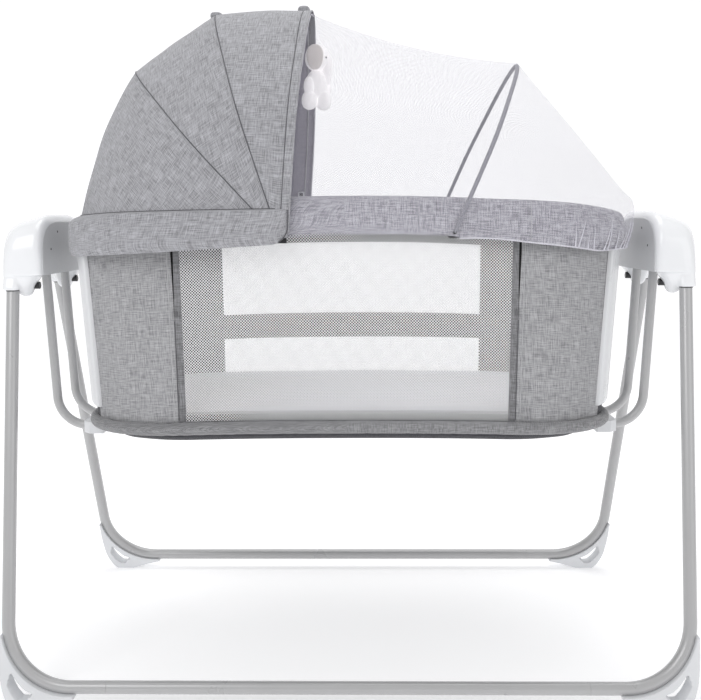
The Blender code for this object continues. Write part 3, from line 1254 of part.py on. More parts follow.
def make_toy(mats, carrier_front):
    """A small stuffed elephant on a strap under the front bow: head with trunk and ears, body and limbs."""
    x = FRONT_BOW_TOP[0]
    hang = FRONT_BOW_TOP[1] - BOW_RADIUS
    toy = pivot("toy_pivot", (x, 0.0, hang), carrier_front)
    head_place = Vector((x, 0.0, hang - TOY_HEAD_DROP))
    body_place = head_place - Vector((0.0, 0.0, TOY_BODY_DROP))
    head = stuffed("toy_head", head_place, TOY_HEAD_SIZE, 0.0, mats["plush"], toy)
    trunk_place = head_place + Vector(TOY_TRUNK_PLACE)
    boolean(head, stuffed("trunk", trunk_place, TOY_TRUNK_SIZE, -TOY_TAPER_SHARE, None, toy), "UNION")
    for _, end in ENDS:
        ex, ey, ez = TOY_EAR_PLACE
        ear_place = head_place + Vector((ex, end * ey, ez))
        boolean(head, stuffed("ear", ear_place, TOY_EAR_SIZE, 0.0, None, toy), "UNION")
    half_width, half_thickness = TOY_STRAP_WIDTH / 2, TOY_STRAP_THICKNESS / 2
    strap_low = head_place.z + TOY_HEAD_SIZE[2]
    strap = box(
        "toy_strap",
        (x - half_thickness, -half_width, strap_low + GAP),
        (x + half_thickness, half_width, hang - GAP),
        mats["strap"],
        toy,
    )
    bow_path = arch(CANOPY_PIVOT, FRONT_BOW_TOP, FRONT_BOW_HALF_WIDTH)
    boolean(strap, tube("bow_cut", bow_path, BOW_RADIUS + GAP, None, toy, sides=WIRE_SIDES))
    body = stuffed("toy_body", body_place, TOY_BODY_SIZE, TOY_TAPER_SHARE, mats["plush"], toy)
    grown = [axis + GAP for axis in TOY_HEAD_SIZE]
    boolean(body, stuffed("cut", head_place, grown, 0.0, None, toy))
    for part, place, size in (("arm", TOY_ARM_PLACE, TOY_ARM_SIZE), ("leg", TOY_LEG_PLACE, TOY_LEG_SIZE)):
        for end_name, end in ENDS:
            px, py, pz = place
            centre = body_place + Vector((px, end * py, pz))
            limb = stuffed(f"toy_{part}_{end_name}", centre, size, TOY_TAPER_SHARE, mats["plush"], toy)
            grown = [axis + GAP for axis in TOY_BODY_SIZE]
            boolean(limb, stuffed("cut", body_place, grown, TOY_TAPER_SHARE, None, toy))


def main():
    clear_scene()
    mats = make_materials()
    cradle = pivot("cradle_pivot", (0.0, 0.0, PIVOT_HEIGHT))
    make_stand(mats)
    make_housings(mats)
    make_controls(mats)
    make_arms(mats, cradle)
    make_cradle_bottom(mats, cradle)
    make_walls(mats, cradle)
    make_rim(mats, cradle)
    front = make_canopy(mats, cradle)
    make_net(mats, cradle)
    make_toy(mats, front)


main()
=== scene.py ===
"""Looks of the swing bassinet: tubes, shells, basket, hood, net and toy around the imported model."""

import math

import bmesh
import bpy
import numpy as np
from bpy.props import FloatProperty, FloatVectorProperty, PointerProperty
from mathutils import Matrix, Vector


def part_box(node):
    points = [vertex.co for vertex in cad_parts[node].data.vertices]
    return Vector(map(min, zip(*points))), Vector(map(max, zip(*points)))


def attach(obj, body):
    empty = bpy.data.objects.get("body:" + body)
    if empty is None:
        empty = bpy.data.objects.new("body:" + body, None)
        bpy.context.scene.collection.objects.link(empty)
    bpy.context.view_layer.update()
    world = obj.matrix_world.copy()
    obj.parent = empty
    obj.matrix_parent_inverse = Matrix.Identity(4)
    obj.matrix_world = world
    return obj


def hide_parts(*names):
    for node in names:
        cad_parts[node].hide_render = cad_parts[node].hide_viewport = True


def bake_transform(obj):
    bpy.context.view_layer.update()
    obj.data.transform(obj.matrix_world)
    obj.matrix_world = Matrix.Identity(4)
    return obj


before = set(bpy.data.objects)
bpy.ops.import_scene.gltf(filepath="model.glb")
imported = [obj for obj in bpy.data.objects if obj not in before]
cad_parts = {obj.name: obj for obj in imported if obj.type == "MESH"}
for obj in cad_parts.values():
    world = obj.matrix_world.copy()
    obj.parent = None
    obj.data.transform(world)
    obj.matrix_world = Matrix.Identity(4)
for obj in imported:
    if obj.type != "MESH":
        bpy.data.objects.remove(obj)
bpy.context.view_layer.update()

bl_info = {
    "name": "Swing bassinet looks",
    "version": (1, 0, 0),
    "blender": (4, 5, 0),
    "location": "View3D > Sidebar > Bassinet",
    "description": "Builds the finished surfaces of a swing bassinet around its solid model",
    "category": "Add Mesh",
}


def half_size(node, axis):
    """How far a node reaches from the middle plane along one axis."""
    return max(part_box(node)[1][axis], -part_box(node)[0][axis])


# Plan curves of the basket, from the bars inside the ring and the rim
RING_BAR = 0.008
RIM_BAR = 0.009
CORNER = 0.180
RING_HALF = (half_size("bottom_frame", 0) - RING_BAR, half_size("bottom_frame", 1) - RING_BAR)
RIM_HALF = (half_size("rim_tube", 0) - RIM_BAR, 0.2435)
RING_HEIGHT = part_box("bottom_frame")[1][2] - RING_BAR
RIM_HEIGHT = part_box("rim_tube")[1][2] - RIM_BAR
RING_END_DROP = 0.010
RIM_END_DROP = 0.036
DROP_POWER = 2.4

# Stand and arms
HOUSING_INNER_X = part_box("housing_shell_right")[0][0]
HOUSING_OUTER_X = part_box("housing_shell_right")[1][0]
RAIL_HEIGHT = 0.031
STAND_HALF_DEPTH = 0.328
RAIL_JOINT_X = 0.396
LEG_FOOT_X = 0.5615
LEG_TOP = (0.592, 0.124, 0.700)
LEG_BEND = 0.110
ARM_BEND = 0.056
ARM_CORNERS = ((0.470, 0.055, 0.4158), (0.5425, 0.055, 0.4158), (0.5575, 0.055, 0.735))
JOINT_GAP = 0.0003
LEG_LEAN_OUT = (LEG_TOP[0] - LEG_FOOT_X) / (LEG_TOP[2] - RAIL_HEIGHT)
LEG_LEAN_IN = (STAND_HALF_DEPTH - LEG_TOP[1]) / (LEG_TOP[2] - RAIL_HEIGHT)

# Feet: reach along the rail and up the leg, depth of the tube's seat, half thickness, cell of the remesh
FOOT_TAIL = 0.114
FOOT_TOP = 0.114
FOOT_SEAT = 0.0085
FOOT_HALF = 0.016
FOOT_VOXEL = 0.0014
# Window of a foot, in shares: its middle, half its length and how that narrows, and its two edges across
FOOT_WINDOW = (0.53, 0.17, 0.10, 0.22, 0.70)
# Outline of a foot from its tail to its top: share of the way, distance out from the leg's foot, height
FOOT_OUTLINE = (
    (0.0, -0.114, 0.0175),
    (0.14, -0.086, 0.0108),
    (0.28, -0.058, 0.0020),
    (0.32, -0.053, 0.0),
    (0.47, -0.013, 0.0),
    (0.53, -0.0035, 0.0115),
    (0.60, 0.0030, 0.026),
    (0.68, 0.0072, 0.042),
    (0.78, 0.0095, 0.064),
    (0.88, 0.0104, 0.084),
    (1.0, 0.0104, 0.114),
)

# Housings
HOUSING_FACE_X = 0.5362
HOUSING_HALF = 0.146
HOUSING_RISE = 0.1090
HOUSING_BOTTOM = 0.700
HOUSING_FALL = 0.017
HOUSING_POWER = 3.7
HOUSING_SHOULDER = (0.027, 0.030)
HOUSING_CORNER = (0.013, 0.017)
HOUSING_VOXEL = 0.0018
COVER_SCREWS = ((0.083, 0.745), (0.042, 0.776))
COLLAR_PLACE_X = 0.5908
COLLAR_HALF = (0.0152, 0.0180)
# Collar round a leg, level by level: height, growth of its half sizes
COLLAR_LEVELS = ((0.6745, -0.0022), (0.6750, -0.0010), (0.6765, 0.0), (0.7350, 0.0))
# Ear beside a leg, level by level: height, its two sides along the length, its two along the depth
EAR_LEVELS = (
    (0.6620, 0.5700, 0.5750, 0.1190, 0.1060),
    (0.6635, 0.5670, 0.5790, 0.1230, 0.1020),
    (0.6665, 0.5640, 0.5830, 0.1270, 0.0985),
    (0.6710, 0.5615, 0.5870, 0.1310, 0.0975),
    (0.6780, 0.5580, 0.5900, 0.1360, 0.0975),
    (0.6850, 0.5535, 0.5930, 0.1400, 0.0975),
    (0.6925, 0.5480, 0.5960, 0.1420, 0.0975),
    (0.7000, 0.5420, 0.5980, 0.1430, 0.0975),
    (0.7200, 0.5420, 0.5980, 0.1430, 0.0975),
)
# Hollow of a housing: height of its floor and top, middle, half sizes
CAVITY = ((0.6800, 0.7690), 0.5690, (0.0225, 0.0940))
# Gasket round a leg: height of its underside and top, and of its middle line, half sizes
GASKET_LEVELS = (0.6730, 0.6754)
GASKET_MIDDLE = 0.6742
GASKET_HALF = (0.0122, 0.0127)
# Edge of the inner cover, ring by ring: distance from the housing's face, inset
COVER_EDGE = ((0.0012, 0.0165), (0.0001, 0.0165), (-0.0003, 0.0171), (-0.0004, 0.0181))

# Basket bottom: height and inset of the board, and its section in shares of reach and height, from below up
FLOOR_LOW, FLOOR_HIGH = 0.4200, 0.4533
FLOOR_INSET = 0.0116
FLOOR_SHARES = (0.0, 0.35, 0.70, 0.86, 0.925, 0.96, 0.985, 1.0, 1.0, 0.985, 0.95, 0.6, 0.0)
FLOOR_LEVELS = (0, 0, 0.01, 0.03, 0.08, 0.18, 0.34, 0.60, 0.86, 0.97, 1.0, 1.0, 1.0)
FLOOR_EDGE_HEIGHTS = (0.4500, 0.4690)
FLOOR_EDGE_OUT = (-0.0150, -0.0175)

# Mattress: half sizes, corner radius, height, and its section in shares as above
MATTRESS_HALF = (0.4225, 0.1955)
MATTRESS_CORNER = 0.100
MATTRESS_LOW, MATTRESS_HIGH = 0.4541, 0.4850
MATTRESS_SHARES = (
    *(0, 0.3, 0.6, 0.8, 0.92, 0.97, 0.992, 1, 1.003),
    *(1, 0.992, 0.975, 0.94, 0.86, 0.7, 0.5, 0.3, 0.15, 0),
)
MATTRESS_LEVELS = (
    *(0, 0, 0, 0.01, 0.06, 0.15, 0.30, 0.43, 0.5),
    *(0.57, 0.68, 0.80, 0.89, 0.95, 0.98, 1, 1, 1, 1),
)

# Basket walls
WALL_LOW_OUT = -0.0063
WALL_HIGH_OUT = -0.0038
WALL_THICKNESS = 0.0026
WALL_BOTTOM = 0.4577
WALL_TOP = 0.8107
WALL_REACH = 1.665
WALL_END_RISE = 0.0040
FLAT_TAPER = 0.987
WINDOW_EDGE = 0.9165
ZIP_STATION = 0.9575
ZIP_FOLD = 0.026
WINDOW_LOW = 0.4592
WINDOW_HIGH = 0.780
REAR_WINDOW_HIGH = 0.748
BAND_LOW = 0.547
BAND_HIGH = 0.599
ZIP_SLIDER_HEIGHT = 0.640
ZIP_LIP = 0.0006
ZIP_OPENING = 0.10
ZIP_TOOTH_STEP = 0.0022
METRES_A_STATION = 0.29
PLATE_BOTTOM = 0.4775
PLATE_THICKNESS = 0.008
PLATE_REACH = 1.385
PLATE_OUT = (0.0065, 0.0090)
PLATE_EDGE = 0.0022
GUSSET_OUT = (-0.0030, -0.0055)

# Rim skirt
SKIRT_OUT = 0.0123
SKIRT_WALL = 0.0028
SKIRT_LOW = 0.772
SKIRT_END_GROWTH = 0.010
SKIRT_INNER_LOW = 0.790
SKIRT_SEAM_X = 0.3000
SKIRT_END_RISE = 0.0140

# Hood
HOOD_PIVOT = (-0.105, 0.765)
HOOD_HALF_WIDTH = 0.2716
REAR_TOP = (-0.3835, 1.0645)
MIDDLE_TOP = (-0.2350, 1.163)
FRONT_TOP = (-0.075, 1.1685)
HEM_REACH = 0.0134
HOOD_END_INSET = 0.0160
HOOD_WALL = 0.0012
HOOD_HUB = np.array([HOOD_PIVOT[0], 0.0, HOOD_PIVOT[1]])
HOOD_MIDDLE_HEIGHT = 0.80
VALANCE_HUB_OUT = 0.029
VALANCE_END_OUT = 0.0145
VALANCE_TOP = 0.8115
VALANCE_BOTTOM = 0.761
VALANCE_FALL = 0.0262
VALANCE_FALL_REACH = 0.440
VALANCE_DROP_SHARE = 0.22
VALANCE_SHOULDER = 1.0
VALANCE_FRONT_X = -0.090
VALANCE_CORNER = 0.030

# Buckle inside the hood
BUCKLE_PLACE = (-0.106, 0.2640, 0.849)

# Net and hoop
HOOP_PIVOT = (0.177, 0.772)
HOOP_TOP = (0.306, 1.068)
HOOP_HALF_WIDTH = 0.264
HOOP_RADIUS = 0.0036
NET_OUT = 0.0262
NET_LOW = 0.7625
NET_SHOULDER = 0.820
NET_MIDDLE_X = (0.04, 0.13)

# Toy
TOY_STRAP_X = -0.0645
TOY_HEAD = (-0.055, 0.0, 1.0885)
TOY_BODY = (-0.057, 0.0, 1.0370)
TOY_STRAP_HALF = 0.0060
TOY_STRAP_THICKNESS = 0.0014
# Parts of the toy: name, what it is placed from, offset, half sizes, squareness, taper
TOY_PARTS = (
    ("head_plush", TOY_HEAD, (0, 0, 0), (0.0225, 0.0195, 0.0240), 0.92, 0.0),
    ("body_plush", TOY_BODY, (0, 0, 0), (0.0215, 0.0190, 0.0310), 0.90, 0.10),
    ("arm_front_plush", TOY_BODY, (-0.0130, -0.0160, 0.0010), (0.0110, 0.0090, 0.0160), 0.95, 0.25),
    ("arm_rear_plush", TOY_BODY, (0.0185, 0.0130, 0.0010), (0.0100, 0.0090, 0.0160), 0.95, 0.25),
    ("leg_front_plush", TOY_BODY, (-0.0125, -0.0125, -0.0250), (0.0150, 0.0130, 0.0175), 0.92, 0.1),
    ("leg_rear_plush", TOY_BODY, (0.0135, -0.0050, -0.0255), (0.0150, 0.0130, 0.0175), 0.92, 0.1),
    ("ear_front", TOY_HEAD, (-0.0030, -0.0200, -0.0010), (0.0135, 0.0045, 0.0225), 0.9, -0.25),
    ("ear_rear", TOY_HEAD, (-0.0020, 0.0185, -0.0020), (0.0140, 0.0045, 0.0235), 0.9, -0.25),
    ("trunk", TOY_HEAD, (0.0190, -0.0020, -0.0200), (0.0080, 0.0075, 0.0290), 0.95, -0.25),
)

# Camera, fitted to the photograph
CAMERA_PLACE = (0.0404, -1.852, 0.7885)
CAMERA_YAW = math.radians(1.17)
CAMERA_PITCH = math.radians(7.4)
CAMERA_ROLL = math.radians(-0.39)
FOCAL_PIXELS = 980.0
PICTURE_WIDTH = 701
SENSOR_WIDTH = 36.0

# Stage: soft lights (name, place, what it is aimed at, size, share of the key's power) and the backdrop
LIGHTS = (
    ("key_light", (-1.6, -2.4, 2.6), (0, 0, 0.7), 1.8, 1.0),
    ("fill_light", (2.4, -2.0, 1.6), (0, 0, 0.7), 2.0, 0.35),
    ("top_light", (0.2, 0.6, 3.2), (0, 0, 0.6), 2.2, 1.05),
)
BACKDROP_BEND = 1.6
BACKDROP_DISTANCE = 3.0
BACKDROP_REACH = 9.0
BACKDROP_HEIGHT = 6.0

SIDES = (("left", -1), ("right", 1))
ENDS = (("front", -1), ("rear", 1))
FULL_TURN = 2 * math.pi


def colour(name, default, words):
    return FloatVectorProperty(
        name=name, description=words, default=default, subtype="COLOR", min=0.0, max=1.0, size=3
    )


def length(name, default, words):
    return FloatProperty(name=name, description=words, default=default, unit="LENGTH", min=0.0)


class StandSettings(bpy.types.PropertyGroup):
    tube_radius: length("Tube radius", 0.011, "Radius of the legs and floor rails")
    arm_radius: length("Arm radius", 0.0083, "Radius of the arms that carry the basket")
    tube_colour: colour("Tube colour", (0.45, 0.45, 0.455), "Paint on the steel tubes")
    shell_colour: colour("Housing colour", (0.86, 0.87, 0.89), "Gloss plastic of the housings")
    foot_colour: colour("Foot colour", (0.72, 0.73, 0.75), "Satin plastic of feet and clips")


class BasketSettings(bpy.types.PropertyGroup):
    sleeve_radius: length("Sleeve radius", 0.0109, "Radius of the padded ring under the basket")
    mesh_pitch: length("Netting pitch", 0.0048, "Distance between holes in the side netting")
    fabric_dark: colour("Fabric dark thread", (0.215, 0.215, 0.225), "Darkest slubs of the heather fabric")
    fabric_light: colour("Fabric light thread", (0.50, 0.50, 0.515), "Lightest slubs of the heather fabric")
    base_colour: colour("Underside colour", (0.045, 0.045, 0.052), "Fabric under the basket")
    # painted shade: the mattress is set greyer than its white cover, standing in for the shade inside the basket
    mattress_colour_painted_shade: colour("Mattress colour", (0.64, 0.64, 0.67), "Cotton cover of the mattress")


class HoodSettings(bpy.types.PropertyGroup):
    front_bulge: length("Front gore rise", 0.0035, "How far the front gore stands over its bows")
    rear_bulge: length("Rear gore rise", 0.0155, "How far the rear gore stands out at the head end")
    piping_radius: length("Piping radius", 0.0014, "Radius of the cord in the seams")
    lining_colour: colour("Lining colour", (0.24, 0.225, 0.27), "Inside of the hood")


class NetSettings(bpy.types.PropertyGroup):
    mesh_pitch: length("Net pitch", 0.0013, "Distance between holes in the sheer net")
    net_colour: colour("Net colour", (0.70, 0.69, 0.77), "Threads of the sheer net")
    sleeve_colour: colour("Hoop sleeve colour", (0.25, 0.25, 0.28), "Fabric sleeve on the hoop")


class StageSettings(bpy.types.PropertyGroup):
    floor_colour: colour("Floor colour", (0.93, 0.93, 0.94), "Plain floor and backdrop")
    key_power: FloatProperty(
        name="Key light", description="Power of the main light", default=28.0, unit="POWER"
    )
    world_strength: FloatProperty(
        name="Sky strength", description="Even light from all sides", default=0.62
    )


class MaterialTree:
    """Adds nodes to one material and joins them; each call returns an output socket."""

    def __init__(self, name):
        self.material = bpy.data.materials.new(name)
        self.material.use_nodes = True
        self.tree = self.material.node_tree
        self.shader = self.tree.nodes["Principled BSDF"]

    def add(self, kind, links=(), **settings):
        node = self.tree.nodes.new(kind)
        for name, value in settings.items():
            setattr(node, name, value)
        for socket, value in dict(links).items():
            self.set(node, socket, value)
        return node

    def set(self, node, socket, value):
        target = node.inputs[socket]
        if isinstance(value, bpy.types.NodeSocket):
            self.tree.links.new(value, target)
        elif isinstance(value, (tuple, list)) and len(value) == 3 and target.type == "RGBA":
            target.default_value = (*value, 1.0)
        else:
            target.default_value = value

    def shade(self, **values):
        for name, value in values.items():
            self.set(self.shader, name.replace("_", " ").title().replace("Ior", "IOR"), value)

    def math(self, operation, first, second=0.0, third=0.0):
        links = {0: first, 1: second}
        if operation == "MULTIPLY_ADD":
            links[2] = third
        return self.add("ShaderNodeMath", links, operation=operation).outputs[0]

    def object_place(self):
        return self.add("ShaderNodeTexCoord").outputs["Object"]

    def cloth_place(self):
        """The piece's own cloth coordinates, in metres along and across its threads."""
        return self.add("ShaderNodeUVMap", uv_map="cloth").outputs["UV"]

    def noise(self, place, scale, detail=2.0, roughness=0.5):
        """Noise whose scale is given for each axis, in features a metre."""
        mapped = self.add("ShaderNodeMapping", {"Vector": place, "Scale": scale}).outputs[0]
        links = {"Vector": mapped, "Scale": 1.0, "Detail": detail, "Roughness": roughness}
        return self.add("ShaderNodeTexNoise", links).outputs[0]

    def ramp(self, value, stops):
        node = self.add("ShaderNodeValToRGB", {0: value})
        while len(node.color_ramp.elements) < len(stops):
            node.color_ramp.elements.new(0.5)
        for element, (place, shade) in zip(node.color_ramp.elements, stops):
            element.position = place
            element.color = (*shade, 1.0)
        return node.outputs[0]

    def tones(self, value, shade, low, high):
        """A ramp from a darker to a lighter tone of one colour."""
        return self.ramp(value, list(zip((0.3, 0.7), shades(shade, low, high))))

    def spread(self, value, low, high, to_low, to_high):
        links = {0: value, 1: low, 2: high, 3: to_low, 4: to_high}
        return self.add("ShaderNodeMapRange", links).outputs[0]

    def bump(self, height, distance, strength=1.0):
        links = {"Height": height, "Distance": distance, "Strength": strength}
        return self.add("ShaderNodeBump", links).outputs[0]


def painted_steel(name, shade):
    """Light grey paint: fine orange peel, faint cloudiness and streaks in its gloss."""
    tree = MaterialTree(name)
    place = tree.object_place()
    cloud = tree.noise(place, (14, 14, 9), 3)
    peel = tree.noise(place, (900, 900, 900), 1)
    tone = [tuple(c * k for c in shade) for k in (0.975, 1.0, 1.02)]
    tree.shade(
        base_color=tree.ramp(cloud, list(zip((0.3, 0.5, 0.7), tone))),
        roughness=tree.spread(cloud, 0.3, 0.7, 0.27, 0.33),
        metallic=0.15,
        coat_weight=0.5,
        coat_roughness=0.12,
        normal=tree.bump(peel, 0.00012, 0.5),
    )
    return tree.material


def moulded_plastic(name, shade, gloss, grain=0.0001, coat=0.0):
    """Injection-moulded plastic: a soft cast in its colour, fine grain and faint handling marks."""
    tree = MaterialTree(name)
    place = tree.object_place()
    cloud = tree.noise(place, (9, 9, 9), 2)
    fine = tree.noise(place, (1400, 1400, 1400), 1)
    marks = tree.noise(place, (60, 420, 60), 4, 0.65)
    wear = tree.math("ADD", tree.math("MULTIPLY", marks, 0.5), tree.math("MULTIPLY", cloud, 0.5))
    tree.shade(
        base_color=tree.tones(cloud, shade, 0.965, 1.02),
        roughness=tree.spread(wear, 0.3, 0.7, gloss * 0.8, gloss * 1.3),
        coat_weight=coat,
        coat_roughness=0.08,
        normal=tree.bump(fine, grain, 0.4),
    )
    return tree.material


def heather_cloth(name, dark, light, contrast=0.095, slub=620.0, coarse=42.0, depth=0.0003):
    """Slubbed heather cloth: long streaks along both threads, a fine weave and soft fuzz."""
    tree = MaterialTree(name)
    place = tree.cloth_place()
    along = tree.noise(place, (coarse, slub, 1), 3, 0.6)
    across = tree.noise(place, (slub, coarse, 1), 3, 0.6)
    cloud = tree.noise(place, (16, 16, 1), 2)
    grain = tree.noise(place, (1500, 1500, 1), 1)
    streak = tree.math("MULTIPLY", tree.math("ADD", along, across), 0.42)
    mixed = tree.math("MULTIPLY_ADD", cloud, 0.05, streak)
    mixed = tree.math("MULTIPLY_ADD", grain, 0.11, mixed)
    middle = tuple((a + b) / 2 for a, b in zip(dark, light))
    stops = [(0.5 - contrast, dark), (0.5, middle), (0.5 + contrast, light)]
    weave = {"Vector": place, "Scale": 320.0, "Distortion": 1.5}
    warp, weft = (tree.add("ShaderNodeTexWave", weave, bands_direction=way).outputs["Fac"] for way in "XY")
    threads = tree.math("MULTIPLY", warp, weft)
    height = tree.math("MULTIPLY_ADD", streak, 2.2, threads)
    tree.shade(
        base_color=tree.ramp(mixed, stops),
        roughness=tree.spread(streak, 0.3, 0.6, 0.96, 0.84),
        sheen_weight=0.18,
        sheen_roughness=0.45,
        normal=tree.bump(height, depth, 0.7),
    )
    return tree.material


def knotted_netting(name, shade, pitch, hole, cover=0.0, veil=1.0, roughness=0.8):
    """Knit netting: round holes on a lattice turned by an eighth, with raised rims between them."""
    tree = MaterialTree(name)
    turned = tree.add("ShaderNodeMapping", {"Vector": tree.cloth_place(), "Rotation": (0, 0, math.pi / 4)})
    links = {"Vector": turned.outputs[0], "Scale": math.sqrt(2) / pitch, "Randomness": 0.0}
    cell = tree.add("ShaderNodeTexVoronoi", links, voronoi_dimensions="2D").outputs["Distance"]
    solid = tree.spread(cell, hole - 0.05, hole + 0.05, cover, veil)
    fuzz = tree.noise(tree.cloth_place(), (700, 700, 1), 2)
    tree.shade(
        base_color=tree.tones(fuzz, shade, 0.85, 1.08),
        roughness=tree.spread(fuzz, 0.3, 0.7, roughness - 0.08, roughness + 0.08),
        alpha=solid,
        normal=tree.bump(cell, pitch * 0.2, 0.6),
    )
    return tree.material


def cotton_with_painted_shade(name, shade):
    """Smooth cotton: fine plain weave, faint wrinkles that are darker in their hollows as painted shade, and a soft
    sheen.
    """
    tree = MaterialTree(name)
    place = tree.cloth_place()
    fold = tree.noise(place, (12, 7, 1), 4, 0.55)
    grain = tree.noise(place, (1100, 1100, 1), 2)
    height = tree.math("MULTIPLY_ADD", grain, 0.12, fold)
    tree.shade(
        # painted shade: the tone follows the wrinkle noise that raises the bump, darker in its hollows
        base_color=tree.tones(fold, shade, 0.94, 1.03),
        roughness=tree.spread(grain, 0.3, 0.7, 0.82, 0.94),
        sheen_weight=0.15,
        normal=tree.bump(height, 0.002, 0.5),
    )
    return tree.material


def plush_with_painted_light(name, shade, dark):
    """Short plush: tufted pile in height and tone, darker between its tufts as painted shade, and a faint glow in
    its own colour as painted light.
    """
    tree = MaterialTree(name)
    place = tree.object_place()
    tuft = tree.noise(place, (420, 420, 420), 3, 0.7)
    patch = tree.noise(place, (60, 60, 60), 2)
    mixed = tree.math("MULTIPLY_ADD", patch, 0.35, tree.math("MULTIPLY", tuft, 0.65))
    tree.shade(
        # painted shade: the pile is darker where the tuft noise is low, where the bump sinks between tufts
        base_color=tree.ramp(mixed, [(0.35, dark), (0.62, shade)]),
        roughness=tree.spread(tuft, 0.3, 0.7, 0.98, 0.88),
        sheen_weight=0.5,
        sheen_roughness=0.6,
        # painted light: the plush glows in its own colour, though it is no lamp
        emission_color=shade,
        emission_strength=0.34,
        normal=tree.bump(tuft, 0.0012, 0.8),
    )
    return tree.material


def zinc_metal(name, shade, roughness):
    """Plated metal: brushed scratches one way and uneven polish."""
    tree = MaterialTree(name)
    place = tree.object_place()
    brush = tree.noise(place, (120, 120, 2400), 3)
    cloud = tree.noise(place, (90, 90, 90), 2)
    tree.shade(
        base_color=tree.tones(cloud, shade, 0.8, 1.0),
        roughness=tree.spread(brush, 0.3, 0.7, roughness * 0.8, roughness * 1.3),
        metallic=1.0,
        normal=tree.bump(brush, 0.00005, 0.4),
    )
    return tree.material


def plain_floor(name, shade):
    """A pale matt floor with the faintest unevenness."""
    tree = MaterialTree(name)
    cloud = tree.noise(tree.object_place(), (1.5, 1.5, 1.5), 2)
    tree.shade(
        base_color=tree.tones(cloud, shade, 0.99, 1.0),
        roughness=0.9,
        specular_ior_level=0.1,
        emission_color=(1.0, 1.0, 1.0),
        emission_strength=0.28,
    )
    return tree.material


FINISHES = {}


def finish(name):
    """The material of that name, made when it is first asked for."""
    if name in FINISHES:
        return FINISHES[name]
    scene = bpy.context.scene
    stand, basket, hood, net = scene.stand, scene.basket, scene.hood, scene.net
    dark, light = tuple(basket.fabric_dark), tuple(basket.fabric_light)
    shell_colour = tuple(stand.shell_colour)
    recipes = {
        "painted_tube": (painted_steel, tuple(stand.tube_colour)),
        "gloss_shell": (moulded_plastic, shell_colour, 0.16, 0.00003, 0.4),
        "white_plastic": (moulded_plastic, tuple(stand.foot_colour), 0.38),
        "black_plastic": (moulded_plastic, (0.018, 0.018, 0.02), 0.38),
        "dark_panel": (moulded_plastic, (0.05, 0.052, 0.06), 0.18, 0.00002, 0.5),
        "zinc_steel": (zinc_metal, (0.58, 0.58, 0.60), 0.34),
        "grey_fabric": (heather_cloth, dark, light),
        "hood_fabric": (heather_cloth, dark, tuple(c + d for c, d in zip(light, (0, 0, 0.02)))),
        "hood_lining": (heather_cloth, *shades(hood.lining_colour, 1.0, 1.6), 0.16),
        # painted shade: the inner face of the grey cloth walls is near black, standing in for the shade inside the
        # basket
        "inner_lining": (heather_cloth, (0.010, 0.010, 0.011), (0.035, 0.035, 0.038)),
        "rim_fabric": (heather_cloth, (0.17, 0.165, 0.19), (0.60, 0.59, 0.64), 0.075),
        "sleeve_fabric": (heather_cloth, shades(dark, 0.72, 1.0)[0], shades(light, 0.72, 1.0)[0]),
        "seam_thread": (heather_cloth, (0.07, 0.07, 0.08), (0.16, 0.16, 0.17)),
        "binding": (heather_cloth, *shades(dark, 0.55, 1.45)),
        "fold_thread": (heather_cloth, *shades(light, 0.75, 1.15)),
        # near black: the zip tape, whose black behind the open slits is partly painted shade, and the floor's edge,
        # painted shade
        "zip_tape": (heather_cloth, (0.004, 0.004, 0.004), (0.016, 0.016, 0.017)),
        "dark_zinc": (zinc_metal, (0.20, 0.20, 0.21), 0.42),
        # painted shade: the end plates are a darker copy of the housing's white
        "end_plate": (moulded_plastic, shades(shell_colour, 0.84, 1.0)[0], 0.30, 0.00003, 0.2),
        # painted shade: a darker copy of the housing's white for the cover, whose face turned to the basket gets
        # less light
        "inner_cover": (moulded_plastic, shades(shell_colour, 0.62, 1.0)[0], 0.42, 0.00003),
        "charcoal_fabric": (heather_cloth, *shades(basket.base_colour, 0.6, 1.7)),
        "grey_netting": (knotted_netting, (0.92, 0.92, 0.95), basket.mesh_pitch, 0.40),
        "rear_netting": (knotted_netting, (0.93, 0.92, 0.97), basket.mesh_pitch * 0.6, 0.46, 0.05),
        "sheer_net": (knotted_netting, tuple(net.net_colour), net.mesh_pitch, 0.44, 0.02, 0.42),
        "net_hem": (heather_cloth, (0.52, 0.51, 0.56), (0.80, 0.79, 0.86)),
        # The mattress cover: greyer than white and darker in its wrinkles, both painted shade
        "white_cotton": (cotton_with_painted_shade, tuple(basket.mattress_colour_painted_shade)),
        # Both plush finishes glow faintly in their own colour (painted light) and darken between tufts (painted
        # shade)
        "plush": (plush_with_painted_light, (0.98, 0.96, 0.97), (0.84, 0.82, 0.83)),
        "ear_plush": (plush_with_painted_light, (0.60, 0.56, 0.54), (0.40, 0.37, 0.36)),
        "hoop_sleeve": (heather_cloth, *shades(net.sleeve_colour, 0.8, 1.25)),
        "dark_strap": (heather_cloth, (0.05, 0.05, 0.055), (0.14, 0.14, 0.15)),
        "bead_eye": (moulded_plastic, (0.01, 0.01, 0.01), 0.12),
        "plain_floor": (plain_floor, tuple(scene.stage.floor_colour)),
    }
    recipe, *values = recipes[name]
    FINISHES[name] = recipe(name, *values)
    return FINISHES[name]


def shades(shade, low, high):
    """A darker and a lighter tone of one colour."""
    return tuple(c * low for c in shade), tuple(min(1.0, c * high) for c in shade)


def smooth(value):
    """Rises from 0 to 1 as the value does, level at both ends: 3v squared less 2v cubed."""
    value = np.clip(value, 0.0, 1.0)
    return value * value * (3 - 2 * value)


def bell(value, width):
    """A bell curve: e to the minus square of the value over the width."""
    return np.exp(-((value / width) ** 2))


def running(path):
    """Length run along a path up to each of its points."""
    return np.concatenate([[0.0], np.cumsum(np.linalg.norm(np.diff(path, axis=0), axis=-1))])


